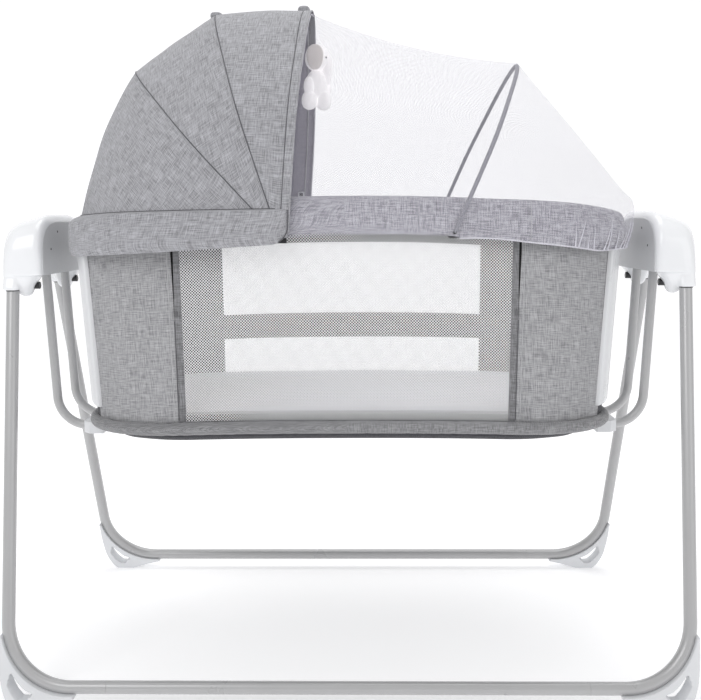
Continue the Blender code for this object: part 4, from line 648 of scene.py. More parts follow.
def unit(vectors):
    return vectors / np.maximum(np.linalg.norm(vectors, axis=-1, keepdims=True), 1e-12)


def cloth_grid(points, closed_u=False, closed_v=False):
    """Cloth coordinates of a grid: running lengths along its rows and its columns, from the middle column."""
    if closed_u:
        points = np.concatenate([points, points[:1]])
    if closed_v:
        points = np.concatenate([points, points[:, :1]], axis=1)
    grid = np.zeros((*points.shape[:2], 2))
    grid[1:, :, 0] = np.cumsum(np.linalg.norm(np.diff(points, axis=0), axis=2), axis=0)
    grid[:, 1:, 1] = np.cumsum(np.linalg.norm(np.diff(points, axis=1), axis=2), axis=1)
    grid[:, :, 1] -= grid[:, grid.shape[1] // 2, 1][:, None]
    return grid


def grid_faces(rows, columns, closed_u, closed_v):
    """Each cell's four corner numbers, and the same corners' places in the cloth grid."""
    i, j = np.meshgrid(
        np.arange(rows if closed_u else rows - 1),
        np.arange(columns if closed_v else columns - 1),
        indexing="ij",
    )
    steps = ((0, 0), (0, 1), (1, 1), (1, 0))
    faces = np.stack([(i + a) % rows * columns + (j + b) % columns for a, b in steps], -1)
    places = np.stack([np.stack([i + a, j + b], -1) for a, b in steps], 2)
    return faces, places


def border_edges(keep, rows, columns, closed_u):
    """Corner pairs along each line where a kept cell meets a left-out one or the grid's end."""
    none_row = np.zeros((1, keep.shape[1]), bool)
    before = np.roll(keep, 1, 0) if closed_u else np.vstack([none_row, keep])
    after = keep if closed_u else np.vstack([keep, none_row])
    r, j = np.nonzero(before != after)
    first = np.stack([r % rows * columns + j, r % rows * columns + j + 1], -1)
    none_column = np.zeros((keep.shape[0], 1), bool)
    i, c = np.nonzero(np.hstack([none_column, keep]) != np.hstack([keep, none_column]))
    second = np.stack([i * columns + c, (i + 1) % rows * columns + c], -1)
    return np.concatenate([first, second])


def new_mesh(name, points, faces, cloth, mats, indices=None, closed=True, centre=None, sharp=60.0):
    """A mesh object from whole arrays, its doubles merged and its faces turned outwards."""
    mesh = bpy.data.meshes.new(name)
    mesh.from_pydata(points.tolist(), [], [list(f) for f in faces])
    layer = mesh.uv_layers.new(name="cloth")
    layer.data.foreach_set("uv", np.asarray(cloth, np.float32).ravel())
    for mat in mats:
        mesh.materials.append(mat)
    if indices is not None:
        mesh.polygons.foreach_set("material_index", np.asarray(indices, np.int32))
    work = bmesh.new()
    work.from_mesh(mesh)
    bmesh.ops.remove_doubles(work, verts=work.verts, dist=0.00002)
    if closed:
        bmesh.ops.recalc_face_normals(work, faces=work.faces)
    elif sum(f.normal.dot(f.calc_center_median() - Vector(centre)) * f.calc_area() for f in work.faces) < 0:
        bmesh.ops.reverse_faces(work, faces=work.faces)
    work.to_mesh(mesh)
    work.free()
    mesh.shade_smooth()
    mesh.set_sharp_from_angle(angle=math.radians(sharp))
    obj = bpy.data.objects.new(name, mesh)
    bpy.context.scene.collection.objects.link(obj)
    return obj


def skin(name, points, mat, closed_u=False, closed_v=False, centre=None, sharp=60.0):
    """One layer over a grid of points: closed both ways, capped at its ends, or open round a centre."""
    rows, columns = points.shape[:2]
    faces, places = grid_faces(rows, columns, closed_u, closed_v)
    cloth = cloth_grid(points, closed_u, closed_v)
    corner_cloth = cloth[places[..., 0], places[..., 1]].reshape(-1, 2)
    faces = faces.reshape(-1, 4).tolist()
    if closed_v and not closed_u:
        faces += [list(range(columns)), list(range((rows - 1) * columns, rows * columns))]
        corner_cloth = np.concatenate([corner_cloth, cloth[0, :columns], cloth[-1, :columns]])
    closed = closed_v or centre is None
    return new_mesh(name, points.reshape(-1, 3), faces, corner_cloth, [mat], None, closed, centre, sharp)


def shell(name, outside, inside, mat, closed_u=False, keep=None, lining=None, accent=None, sharp=60.0):
    """A wall between two grids of points, with the left-out cells as openings and all edges closed; its
    outer cells of the accent, if any, have a material of their own."""
    rows, columns = outside.shape[:2]
    faces, places = grid_faces(rows, columns, closed_u, False)
    if keep is None:
        keep = np.ones(faces.shape[:2], bool)
    cloth = cloth_grid(outside, closed_u)
    corner_cloth = cloth[places[keep][..., 0], places[keep][..., 1]]
    outer = faces[keep]
    count = rows * columns
    edges = border_edges(keep, rows, columns, closed_u)
    rims = np.stack([edges[:, 0], edges[:, 1], edges[:, 1] + count, edges[:, 0] + count], -1)
    flat = cloth[:rows, :columns].reshape(-1, 2)
    rim_cloth = flat[rims % count]
    all_faces = np.concatenate([outer, outer[:, ::-1] + count, rims])
    all_cloth = np.concatenate([corner_cloth, corner_cloth[:, ::-1], rim_cloth]).reshape(-1, 2)
    points = np.concatenate([outside.reshape(-1, 3), inside.reshape(-1, 3)])
    used = np.unique(all_faces)
    renumber = np.zeros(len(points), int)
    renumber[used] = np.arange(len(used))
    outer_index = 2 * accent[0][keep] if accent else np.zeros(len(outer))
    indices = np.concatenate([outer_index, np.ones(len(outer)), np.zeros(len(rims))])
    mats = [mat, lining or mat] + ([accent[1]] if accent else [])
    return new_mesh(name, points[used], renumber[all_faces], all_cloth, mats, indices, True, None, sharp)


def grid_normals(points, centre, closed_u=False):
    """Unit normals of a grid of points, turned away from a centre."""
    if closed_u:
        along = np.roll(points, -1, 0) - np.roll(points, 1, 0)
    else:
        along = np.gradient(points, axis=0)
    normals = unit(np.cross(along, np.gradient(points, axis=1)))
    away = np.sum(normals * (points - np.asarray(centre)), axis=-1)
    return normals * np.where(away.mean() < 0, -1.0, 1.0)


def tube(name, path, radius, normal, mat, sides=32, closed=False, sharp=60.0):
    """A round bar: circles of the radius square to the path, measured from a given normal."""
    path = np.asarray(path, float)
    if closed:
        tangent = unit(np.roll(path, -1, 0) - np.roll(path, 1, 0))
    else:
        tangent = unit(np.gradient(path, axis=0))
    side = unit(np.cross(tangent, np.broadcast_to(np.asarray(normal, float), path.shape)))
    up = np.cross(side, tangent)
    angle = np.linspace(0, FULL_TURN, sides, endpoint=False)[None, :, None]
    reach = np.broadcast_to(radius, (len(path),))[:, None, None]
    rings = path[:, None] + reach * (np.cos(angle) * side[:, None] + np.sin(angle) * up[:, None])
    return skin(name, rings, mat, closed_u=closed, closed_v=True, sharp=sharp)


def rounded(corners, radius, steps=20, straight=6):
    """A path through corner points with each inner corner turned into an arc of the radius."""
    corners = [np.asarray(c, float) for c in corners]
    stretches = []
    start = corners[0]
    for before, here, after in zip(corners, corners[1:], corners[2:]):
        back, on = unit(before - here), unit(after - here)
        half = math.acos(np.clip(back @ on, -1, 1)) / 2
        reach = radius / math.tan(half)
        centre = here + unit(back + on) * radius / math.sin(half)
        first, last = here + back * reach - centre, here + on * reach - centre
        sweep = math.pi - 2 * half
        part = np.linspace(0, 1, steps + 1)[:, None]
        arc = centre + (first * np.sin((1 - part) * sweep) + last * np.sin(part * sweep)) / math.sin(sweep)
        stretches.append(np.linspace(start, arc[0], straight, endpoint=False))
        stretches.append(arc[:-1])
        start = arc[-1]
    stretches.append(np.linspace(start, corners[-1], straight + 1))
    return np.concatenate(stretches)


def plan(station, half, corner=CORNER):
    """Points and outward directions of a rounded rectangle: station 0 is the front's middle, 3 the right
    end's, 6 the rear's and 9 the left end's; the corners lie at 1 to 2, 4 to 5, 7 to 8 and 10 to 11."""
    station = np.mod(station, 12)
    quarter = np.floor(station / 3)
    rest = station - 3 * quarter
    rest = np.where(quarter % 2 == 1, 3 - rest, rest)
    turn = np.clip(rest - 1, 0, 1) * math.pi / 2
    nx, ny = np.sin(turn), -np.cos(turn)
    x = (half[0] - corner) * np.clip(rest, 0, 1) + corner * nx
    y = -(half[1] - corner) * (1 - np.clip(rest - 2, 0, 1)) + corner * ny
    flip_x = np.where(quarter >= 2, -1.0, 1.0)
    flip_y = np.where((quarter == 1) | (quarter == 2), -1.0, 1.0)
    return x * flip_x, y * flip_y, nx * flip_x, ny * flip_y


def station_lengths(half, corner=CORNER):
    """Running length of the plan curve at each whole station."""
    quarter = [half[0] - corner, corner * math.pi / 2, half[1] - corner]
    return np.concatenate([[0.0], np.cumsum((quarter + quarter[::-1]) * 2)])


def even_stations(start, stop, count, half=RIM_HALF):
    """Stations from start to stop at even distances along the plan curve."""
    marks = station_lengths(half)
    total = marks[-1]
    ends = [np.interp(s % 12, np.arange(13), marks) + total * (s // 12) for s in (start, stop)]
    run = np.linspace(*ends, count)
    return np.interp(run % total, marks, np.arange(13)) + 12 * (run // total)


def rim_drop(x):
    return -RIM_END_DROP * np.abs(x / RIM_HALF[0]) ** DROP_POWER


def ring_drop(x):
    return -RING_END_DROP * np.abs(x / RING_HALF[0]) ** DROP_POWER


def plan_columns(stations, half, corner=CORNER):
    """Points and outward directions of a plan curve, each as a column."""
    return (part[:, None] for part in plan(stations, half, corner))


def stood_off(x, y, nx, ny, out, height):
    """Points at a distance out from a plan curve and at a height."""
    return np.stack(np.broadcast_arrays(x + nx * out, y + ny * out, height), -1)


def carried(stations, half, drop, out, height):
    """A profile of (out, height) carried round a plan curve, lowered with it."""
    x, y, nx, ny = plan_columns(stations, half)
    return stood_off(x, y, nx, ny, out, height + drop(x))


def ripple(u, v, seed, pitch):
    """Soft uneven waves between -1 and 1: a few sines of unlike pitch and slant, summed."""
    random = np.random.default_rng(seed)
    total = 0.0
    for k in range(6):
        angle, phase = random.uniform(0, math.pi), random.uniform(0, FULL_TURN)
        step = pitch * random.uniform(0.6, 1.7)
        total = total + np.sin((u * math.cos(angle) + v * math.sin(angle)) * FULL_TURN / step + phase)
    return total / 6


def applied(obj):
    """The object with its modifiers worked into its mesh."""
    view = bpy.context.evaluated_depsgraph_get()
    mesh = bpy.data.meshes.new_from_object(obj.evaluated_get(view))
    obj.modifiers.clear()
    old, obj.data = obj.data, mesh
    bpy.data.meshes.remove(old)
    return obj


def joined(name, solids):
    """One object from several, their meshes side by side."""
    work = bmesh.new()
    for solid in solids:
        work.from_mesh(solid.data)
    mesh = bpy.data.meshes.new(name)
    work.to_mesh(mesh)
    work.free()
    mesh.materials.append(solids[0].data.materials[0])
    obj = bpy.data.objects.new(name, mesh)
    bpy.context.scene.collection.objects.link(obj)
    for solid in solids:
        bpy.data.objects.remove(solid)
    return obj


def fused(name, solids, voxel, passes):
    """One solid from overlapping ones: remeshed in small cells, then relaxed so that its corners turn round."""
    obj = joined(name, solids)
    cells = obj.modifiers.new("cells", "REMESH")
    cells.mode, cells.voxel_size = "VOXEL", voxel
    relax = obj.modifiers.new("relax", "SMOOTH")
    relax.factor, relax.iterations = 0.5, passes
    return applied(obj)


def cut_away(obj, tool):
    """The object less the tool's volume."""
    hole = obj.modifiers.new("hole", "BOOLEAN")
    hole.operation, hole.solver, hole.object = "DIFFERENCE", "EXACT", tool
    applied(obj)
    bpy.data.objects.remove(tool)
    obj.data.shade_smooth()
    obj.data.set_sharp_from_angle(angle=math.radians(40))


def stack(name, levels, centres, halves, power, mat):
    """A closed solid of flat rings, one at each level: superellipses round the centres, capped at both ends."""
    turn = np.linspace(0, FULL_TURN, 48, endpoint=False)[None, :]
    reach = (np.abs(np.cos(turn)) ** power + np.abs(np.sin(turn)) ** power) ** (-1 / power)
    centres, halves = np.asarray(centres, float), np.asarray(halves, float)
    x = centres[:, :1] + halves[:, :1] * reach * np.cos(turn)
    y = centres[:, 1:] + halves[:, 1:] * reach * np.sin(turn)
    points = np.stack([x, y, np.asarray(levels, float)[:, None] + 0 * turn], -1)
    return skin(name, points, mat, closed_v=True)


def place(obj, body, slot=None, *nodes):
    """Hangs a finished piece on its body and hides the nodes of the solid model that it stands for."""
    if body:
        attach(obj, body)
    if nodes:
        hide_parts(*nodes)
    return obj


def dress(node, finish_name, bevel=0.0):
    """A better material for a solid whose shape is right, and small radii on its edges."""
    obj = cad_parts[node]
    obj.data.materials.clear()
    obj.data.materials.append(finish(finish_name))
    if bevel:
        weld = obj.modifiers.new("weld", "WELD")
        weld.merge_threshold = 0.00002
        rounding = obj.modifiers.new("edge_radius", "BEVEL")
        rounding.width = bevel
        rounding.segments = 3
        rounding.limit_method = "ANGLE"
        rounding.angle_limit = math.radians(32)
        rounding.harden_normals = True


def leg_corners(side, end):
    """The three corners of a leg's path, from the rail over the foot to the top, and its plane's normal."""
    depth = end * STAND_HALF_DEPTH
    joint = (side * (RAIL_JOINT_X + JOINT_GAP), depth, RAIL_HEIGHT)
    foot = (side * LEG_FOOT_X, depth, RAIL_HEIGHT)
    top = (side * LEG_TOP[0], end * LEG_TOP[1], LEG_TOP[2])
    lean = math.atan(LEG_LEAN_IN)
    return [joint, foot, top], (0.0, math.cos(lean), end * math.sin(lean))


class BASSINET_OT_stand(bpy.types.Operator):
    """Smooth painted legs and floor rails, and the feet under the legs' bends"""

    bl_idname = "bassinet.stand"
    bl_label = "Stand"

    def execute(self, context):
        stand = context.scene.stand
        for end_name, end in ENDS:
            for side_name, side in SIDES:
                corners, normal = leg_corners(side, end)
                path = rounded(corners, LEG_BEND)
                name = f"leg_{end_name}_{side_name}"
                leg = tube(f"{name}_tube", path, stand.tube_radius, normal, finish("painted_tube"))
                place(leg, "stand", "painted_tube", name)
                self.foot(f"foot_{end_name}_{side_name}", side, end)
            left, right = ((x, end * STAND_HALF_DEPTH, RAIL_HEIGHT) for x in (-RAIL_JOINT_X, RAIL_JOINT_X))
            path = np.linspace(left, right, 12)
            rail = tube(f"rail_{end_name}_tube", path, stand.tube_radius, (0, 0, 1), finish("painted_tube"))
            place(rail, "stand", "painted_tube", f"rail_{end_name}")
        return {"FINISHED"}

    def foot(self, name, side, end):
        """A shoe under the leg's bend: rows of points from just inside the tube's outer side out to a smooth
        outline over the pad, with the cells of a window left out, then remeshed so that its edges are round."""
        corners, _ = leg_corners(1, -1)
        path = rounded([np.array([x, 0, z]) for x, _, z in corners], LEG_BEND, 60, 40)
        path = path[(path[:, 0] > LEG_FOOT_X - FOOT_TAIL) & (path[:, 2] < FOOT_TOP)]
        tangent = unit(np.gradient(path, axis=0))
        outward = np.stack([-tangent[:, 2], 0 * tangent[:, 0], tangent[:, 0]], -1)
        outward = -outward * np.sign(outward[0, 2])
        inner = path + outward * FOOT_SEAT
        run = running(path)
        part = run / run[-1]
        marks, out, high = np.transpose(FOOT_OUTLINE)
        height = np.interp(part, marks, high)
        reach = np.interp(part, marks, out) + LEG_FOOT_X + LEG_LEAN_OUT * (height - RAIL_HEIGHT)
        outer = np.stack([reach, 0 * part, height], -1)
        share = np.linspace(0, 1, 13)
        grid = inner[:, None] * (1 - share[:, None]) + outer[:, None] * share[:, None]
        grid[..., 1] = end * (STAND_HALF_DEPTH - LEG_LEAN_IN * (grid[..., 2] - RAIL_HEIGHT))
        grid[..., 0] *= side
        middle, half, narrowing, near, far = FOOT_WINDOW
        along = (part[:-1, None] + part[1:, None]) / 2
        across = (share[:-1] + share[1:])[None] / 2
        hole = (np.abs(along - middle) < half - narrowing * across) & (across > near) & (across < far)
        layers = [grid + (0, depth, 0) for depth in (-FOOT_HALF, FOOT_HALF)]
        solid = shell(f"{name}_raw", *layers, finish("white_plastic"), keep=~hole)
        shoe = fused(f"{name}_shoe", [solid], FOOT_VOXEL, 2)
        shoe.data.shade_smooth()
        place(shoe, "stand", "white_plastic", name)


class BASSINET_OT_housings(bpy.types.Operator):
    """Finish of the housings, their controls and the yokes inside"""

    bl_idname = "bassinet.housings"
    bl_label = "Housings"

    def execute(self, context):
        for side_name, side in SIDES:
            self.shell(side_name, side)
            self.cover(side_name, side)
            dress(f"hanger_{side_name}", "white_plastic", 0.0012)
            dress(f"clip_{side_name}", "white_plastic", 0.0014)
            for end_name, _ in ENDS:
                dress(f"leg_release_{end_name}_{side_name}", "black_plastic", 0.0010)
        dress("control_panel", "dark_panel", 0.0006)
        for name in ("button_power", "button_speed"):
            dress(name, "gloss_shell", 0.0006)
        dress("power_inlet", "black_plastic", 0.0006)
        dress("drive_motor", "zinc_steel", 0.0010)
        return {"FINISHED"}

    def rings(self, side, xs, insets, top_share):
        """Outlines of a housing, one at each x: a superellipse arch over a flat base, drawn in by the inset."""
        turn = np.linspace(0, math.pi, 61)
        total = np.abs(np.cos(turn)) ** HOUSING_POWER + np.abs(np.sin(turn)) ** HOUSING_POWER
        reach = total ** (-1 / HOUSING_POWER)
        base = np.linspace(-1, 1, 22)[1:-1]
        across = np.concatenate([reach * np.cos(turn), base])
        up = np.concatenate([reach * np.sin(turn), 0 * base])
        xs, insets, top_share = (np.asarray(v, float)[:, None] for v in (xs, insets, top_share))
        fall = HOUSING_FALL * (xs - HOUSING_INNER_X) / (HOUSING_OUTER_X - HOUSING_INNER_X)
        low_share = 0.35 + 0.65 * up if np.ptp(top_share) else 1.0
        y = (HOUSING_HALF - insets * low_share) * across
        z = HOUSING_BOTTOM + (HOUSING_RISE - fall - insets * top_share) * up
        return np.stack([side * xs + 0 * y, y, z], -1)

    def shell(self, side_name, side):
        """A housing: its arch carried outwards between a small and a large round shoulder, with a collar
        round each leg and an ear beside it, all run into each other, then hollowed from below."""
        mat = finish("gloss_shell")
        turn = np.linspace(0, math.pi / 2, 10)
        near, far = HOUSING_CORNER, HOUSING_SHOULDER
        inner = HOUSING_FACE_X + near[0] * (1 - np.cos(turn))
        outer = (HOUSING_OUTER_X - far[0] * (1 - np.cos(turn)))[::-1]
        xs = np.concatenate([inner, outer])
        insets = np.concatenate([near[1] * (1 - np.sin(turn)), far[1] * (1 - np.sin(turn[::-1]))])
        share = np.concatenate([np.ones(10), np.full(10, 0.3)])
        solids = [skin("housing_form", self.rings(side, xs, insets, share), mat, closed_v=True)]
        collar, growth = np.transpose(COLLAR_LEVELS)
        ear, inner, outer, front, back = np.transpose(EAR_LEVELS)
        for _, end in ENDS:
            y = end * (STAND_HALF_DEPTH - (collar - RAIL_HEIGHT) * LEG_LEAN_IN)
            centres = np.stack([side * COLLAR_PLACE_X + 0 * y, y], -1)
            solids.append(stack("collar_form", collar, centres, COLLAR_HALF + growth[:, None], 3.5, mat))
            centres = np.stack([side * (inner + outer) / 2, end * (front + back) / 2], -1)
            halves = np.stack([(outer - inner) / 2, (front - back) / 2], -1)
            solids.append(stack("ear_form", ear, centres, halves, 3.0, mat))
        shell = fused(f"housing_{side_name}_shell", solids, HOUSING_VOXEL, 9)
        levels, middle, half = CAVITY
        cut_away(shell, stack("cavity", levels, [(side * middle, 0.0)] * 2, [half] * 2, 12, mat))
        place(shell, "stand", "gloss_shell", f"housing_shell_{side_name}")
        for end_name, end in ENDS:
            y = end * (STAND_HALF_DEPTH - (GASKET_MIDDLE - RAIL_HEIGHT) * LEG_LEAN_IN)
            name, centres = f"leg_gasket_{end_name}_{side_name}", [(side * COLLAR_PLACE_X, y)] * 2
            ring = stack(name, GASKET_LEVELS, centres, [GASKET_HALF] * 2, 2, finish("black_plastic"))
            place(ring, "stand", "black_plastic")

    def cover(self, side_name, side):
        """The inner cover: the housing's outline drawn in, a thin plate with a rounded edge and four screws; the
        plate's darker grey is painted shade.
        """
        ahead, insets = np.transpose(COVER_EDGE)
        rings = self.rings(side, HOUSING_FACE_X + ahead, insets, np.ones(4))
        plate = skin(f"housing_{side_name}_cover", rings, finish("inner_cover"), closed_v=True, sharp=80)
        place(plate, "stand", "gloss_shell", f"housing_cover_{side_name}")
        for k, (y, z) in enumerate(COVER_SCREWS):
            for end_name, end in ENDS:
                name = f"cover_screw_{side_name}_{end_name}_{k}"
                centre = (side * (HOUSING_FACE_X - 0.0004), end * y, z)
                half = (0.0007, 0.0021, 0.0021)
                # the screws are real; their black is painted shade of the holes they sit in
                screw = pebble(name, centre, half, 0.7, finish("black_plastic"), 0, 14, 8)
                place(screw, "stand", "black_plastic")


class BASSINET_OT_arms(bpy.types.Operator):
    """The four bent arms that hang the basket"""

    bl_idname = "bassinet.arms"
    bl_label = "Arms"

    def execute(self, context):
        radius = context.scene.stand.arm_radius
        for end_name, end in ENDS:
            for side_name, side in SIDES:
                corners = [(side * x, end * y, z) for x, y, z in ARM_CORNERS]
                name = f"arm_{end_name}_{side_name}"
                arm = tube(f"{name}_tube", rounded(corners, ARM_BEND), radius, (0, 1, 0), finish("painted_tube"))
                place(arm, "cradle", "painted_tube", name)
        return {"FINISHED"}


class BASSINET_OT_bottom(bpy.types.Operator):
    """The padded ring, the dark underside and the mattress"""

    bl_idname = "bassinet.bottom"
    bl_label = "Basket bottom"

    def execute(self, context):
        dress("bottom_frame", "painted_tube")
        self.sleeve(context.scene.basket.sleeve_radius)
        self.floor()
        self.mattress()
        return {"FINISHED"}

    def sleeve(self, radius):
        """The padded ring: a circle carried round the plan, creased inwards where the cloth is drawn tight."""
        stations = even_stations(0, 12, 721, RING_HALF)[:-1]
        angle = np.linspace(0, FULL_TURN, 28, endpoint=False)
        run = np.arange(720)[:, None] / 720 * station_lengths(RING_HALF)[-1]
        crease = np.minimum(0.0, ripple(run, angle[None, :] * radius * 0.4, 3, 0.016)) * 0.0011
        seam = -0.0008 * bell(angle[None, :] - math.pi * 1.65, 0.12)
        reach = radius + crease + seam
        out, height = reach * np.cos(angle), RING_HEIGHT + reach * np.sin(angle)
        points = carried(stations, RING_HALF, ring_drop, out, height)
        ring = skin("bottom_ring_sleeve", points, finish("sleeve_fabric"), closed_u=True, closed_v=True)
        place(ring, "cradle", "grey_fabric", "bottom_sleeve")

    def floor(self):
        """The floor: rings of the plan drawn in from the rim of the board to its middle, under and over."""
        stations = even_stations(0, 12, 361, RING_HALF)[:-1]
        x, y, nx, ny = plan_columns(stations, RING_HALF)
        shares, levels = np.array(FLOOR_SHARES), np.array(FLOOR_LEVELS)
        px, py = (x - nx * FLOOR_INSET) * shares, (y - ny * FLOOR_INSET) * shares
        hull = 0.013 * smooth((np.abs(px) - 0.37) / 0.10) * (1 - levels)
        height = FLOOR_LOW + (FLOOR_HIGH - FLOOR_LOW) * levels + hull + ring_drop(px)
        points = np.stack([px, py, height], -1)
        edge = np.array(FLOOR_EDGE_HEIGHTS)
        walls = (carried(stations, RING_HALF, ring_drop, np.array([out, out]), edge) for out in FLOOR_EDGE_OUT)
        # painted shade: the board's edge is given the near-black zip tape, darker than the charcoal underside, so
        # that it reads unlit through the netting
        rim = shell("basket_floor_edge", *walls, finish("zip_tape"), closed_u=True)
        place(rim, "cradle", "charcoal_fabric")
        board = skin("basket_underside", points, finish("charcoal_fabric"), closed_u=True, centre=(0, 0, 0.437))
        place(board, "cradle", "charcoal_fabric", "basket_floor")

    def mattress(self):
        """The mattress: a rounded slab with crowned faces, a welt round its middle and soft dents."""
        marks = station_lengths(MATTRESS_HALF, MATTRESS_CORNER)
        stations = np.interp(np.linspace(0, marks[-1], 401)[:-1], marks, np.arange(13))
        x, y, _, _ = plan_columns(stations, MATTRESS_HALF, MATTRESS_CORNER)
        low, rise = MATTRESS_LOW, MATTRESS_HIGH - MATTRESS_LOW
        shares, levels = np.array(MATTRESS_SHARES), np.array(MATTRESS_LEVELS)
        px, py = x * shares, y * shares
        top = smooth((levels - 0.7) / 0.3)
        dent = 0.0012 * ripple(px, py, 11, 0.16) * top
        points = np.stack([px, py, low + rise * levels + dent - 0.001 * top + ring_drop(px)], -1)
        pad = skin("mattress_cover", points, finish("white_cotton"), closed_u=True, centre=(0, 0, 0.469))
        place(pad, "cradle", "white_cotton", "mattress")
        path = np.hstack([x * 1.004, y * 1.004, low + rise * 0.5 + ring_drop(x)])
        welt = tube("mattress_welt", path, 0.0016, (0, 0, 1), finish("white_cotton"), 10, closed=True)
        place(welt, "cradle", "white_cotton")


def wall_grid(stations, heights, relief=0.0, outs=(WALL_LOW_OUT, WALL_HIGH_OUT), bottom=WALL_BOTTOM):
    """A wall from over the ring up to under the rim: straight lines between the two plan curves, upright
    along the straight sides, standing off by one distance at its bottom and another at its top."""
    x, y, nx, ny = plan_columns(stations, RING_HALF)
    top_x, top_y, _, _ = plan_columns(stations, RIM_HALF)
    low, high = bottom + ring_drop(x), WALL_TOP + rim_drop(top_x)
    from_middle = np.minimum(np.mod(stations, 6), 6 - np.mod(stations, 6))[:, None]
    x = FLAT_TAPER * top_x + (x - FLAT_TAPER * top_x) * smooth((from_middle - 0.9) / 0.7)
    base = (bottom - WALL_BOTTOM) / (WALL_TOP - WALL_BOTTOM)
    share = np.maximum((heights - WALL_BOTTOM) / (WALL_TOP - WALL_BOTTOM), base)[None, :]
    up = (share - base) / (1 - base)
    out = outs[0] + (outs[1] - outs[0]) * up + relief
    px = x + (top_x - x) * up + nx * out
    py = y + (top_y - y) * up + ny * out
    return np.stack([px, py, low + (high - low) * up], -1)


class BASSINET_OT_walls(bpy.types.Operator):
    """The fabric sides with their windows and zips, and the white end plates"""

    bl_idname = "bassinet.walls"
    bl_label = "Basket sides"

    def execute(self, context):
        for end_name, end in ENDS:
            self.side(end_name, 0.0 if end < 0 else 6.0, end)
            self.window(end_name, 0.0 if end < 0 else 6.0)
        for side_name, side in SIDES:
            self.plate(side_name, 3.0 if side > 0 else 9.0)
        return {"FINISHED"}

    def stations(self, middle):
        """Stations along a side, with lines on the window's edges and both lips of each zip."""
        window = np.linspace(-WINDOW_EDGE, WINDOW_EDGE, 121)
        strip = np.linspace(WINDOW_EDGE, ZIP_STATION - ZIP_LIP, 9)[1:]
        outer = np.linspace(ZIP_STATION + ZIP_LIP, WALL_REACH, 74)
        right = np.concatenate([strip, outer])
        return middle + np.concatenate([-right[::-1], window, right])

    def heights(self, front):
        """Heights up a side, with lines on the window's edges and, at the rear, on the band's."""
        if front:
            marks = ((WALL_BOTTOM, WINDOW_LOW, 2), (WINDOW_LOW, WINDOW_HIGH, 80), (WINDOW_HIGH, WALL_TOP, 8))
        else:
            window = ((WINDOW_LOW, BAND_LOW, 22), (BAND_LOW, BAND_HIGH, 14), (BAND_HIGH, REAR_WINDOW_HIGH, 40))
            marks = ((WALL_BOTTOM, WINDOW_LOW, 3), *window, (REAR_WINDOW_HIGH, WALL_TOP, 14))
        return np.concatenate([np.linspace(a, b, n, endpoint=False) for a, b, n in marks] + [[WALL_TOP]])

    def side(self, end_name, middle, end):
        """A fabric side: a thin wall with hems, welts beside the zips and soft waves, its window left open.
        The front one's zips gape above their sliders, the rear one has a band across its window."""
        front = end < 0
        stations, heights = self.stations(middle), self.heights(front)
        local = stations - middle
        along = local[:, None] * METRES_A_STATION
        up = heights[None, :]
        window_edge = WINDOW_EDGE * METRES_A_STATION
        edge = np.abs(np.abs(along) - window_edge)
        hem = 0.0010 * bell(edge - 0.004, 0.003) * (np.abs(along) > window_edge)
        from_zip = np.abs(along) - ZIP_STATION * METRES_A_STATION
        welt = 0.0017 * bell(from_zip - 0.0042, 0.0030) + 0.0014 * bell(from_zip + 0.0042, 0.0026)
        pull = 0.0009 * ripple(along, up, 21 + int(middle), 0.10) * smooth((np.abs(along) - 0.30) / 0.05)
        relief = -0.0006 + hem + np.minimum(pull, 0.0004) + (welt if front else 0.0)
        from_middle = np.abs(local[:, None])
        relief = relief * smooth((WALL_REACH - 0.10 - from_middle) / 0.12)
        relief = relief + WALL_END_RISE * smooth((from_middle - WALL_REACH + 0.16) / 0.12)
        outside = wall_grid(stations, heights, relief)
        inside = wall_grid(stations, heights, -WALL_THICKNESS)
        cell_u = (local[1:] + local[:-1]) / 2
        cell_z = (heights[1:] + heights[:-1]) / 2
        inner = np.abs(cell_u)[:, None] < WINDOW_EDGE
        top = WINDOW_HIGH if front else REAR_WINDOW_HIGH
        hole = inner & (cell_z > WINDOW_LOW)[None, :] & (cell_z < top)[None, :]
        if front:
            slit = (np.abs(np.abs(cell_u) - ZIP_STATION) < 0.0005)[:, None] & (cell_z < WINDOW_HIGH)[None, :]
            hole = hole | (slit & (cell_z > WINDOW_LOW)[None, :])
            opened = np.clip((up - ZIP_SLIDER_HEIGHT - 0.004) / ZIP_OPENING, 0, 1) * 0.0019
            opened = opened * smooth((WINDOW_HIGH + 0.02 - up) / 0.04)
            pull_in = np.exp(-np.maximum(0.0, np.abs(from_zip) - 0.0003) / 0.004)
            shift = opened * pull_in * np.sign(from_zip) * np.sign(along)
            outside[..., 0] += shift
            inside[..., 0] += shift
        else:
            hole = hole & ~((cell_z > BAND_LOW) & (cell_z < BAND_HIGH))[None, :]
        strip = (np.abs(cell_u)[:, None] < ZIP_STATION) & front
        panel = shell(
            f"side_panel_{end_name}",
            outside,
            inside,
            finish("grey_fabric"),
            keep=~hole,
            # the near-black lining is painted shade
            lining=finish("inner_lining"),
            accent=(strip & ~hole, finish("binding")),
        )
        place(panel, "cradle", "grey_fabric", f"side_{end_name}")
        if front:
            for side_name, side in SIDES:
                self.zip(side_name, side)
                self.seams(side_name, side)

    def seams(self, side_name, side):
        """Seams beside a zip: a pale one on the fold from top to bottom, and a dark one under the slider."""
        lines = ((ZIP_FOLD, 0.80, "fold_thread"), (0.0, ZIP_SLIDER_HEIGHT - 0.006, "seam_thread"))
        for k, (offset, high, mat) in enumerate(lines):
            heights = np.linspace(WALL_BOTTOM + 0.004, high, 60)
            line = wall_grid(np.array([side * (ZIP_STATION + offset)]), heights, 0.0003)[0]
            thread = tube(f"zip_seam_{side_name}_{k}", line, 0.0007, (1, 0, 0), finish(mat), 8)
            place(thread, "cradle", "dark_strap")

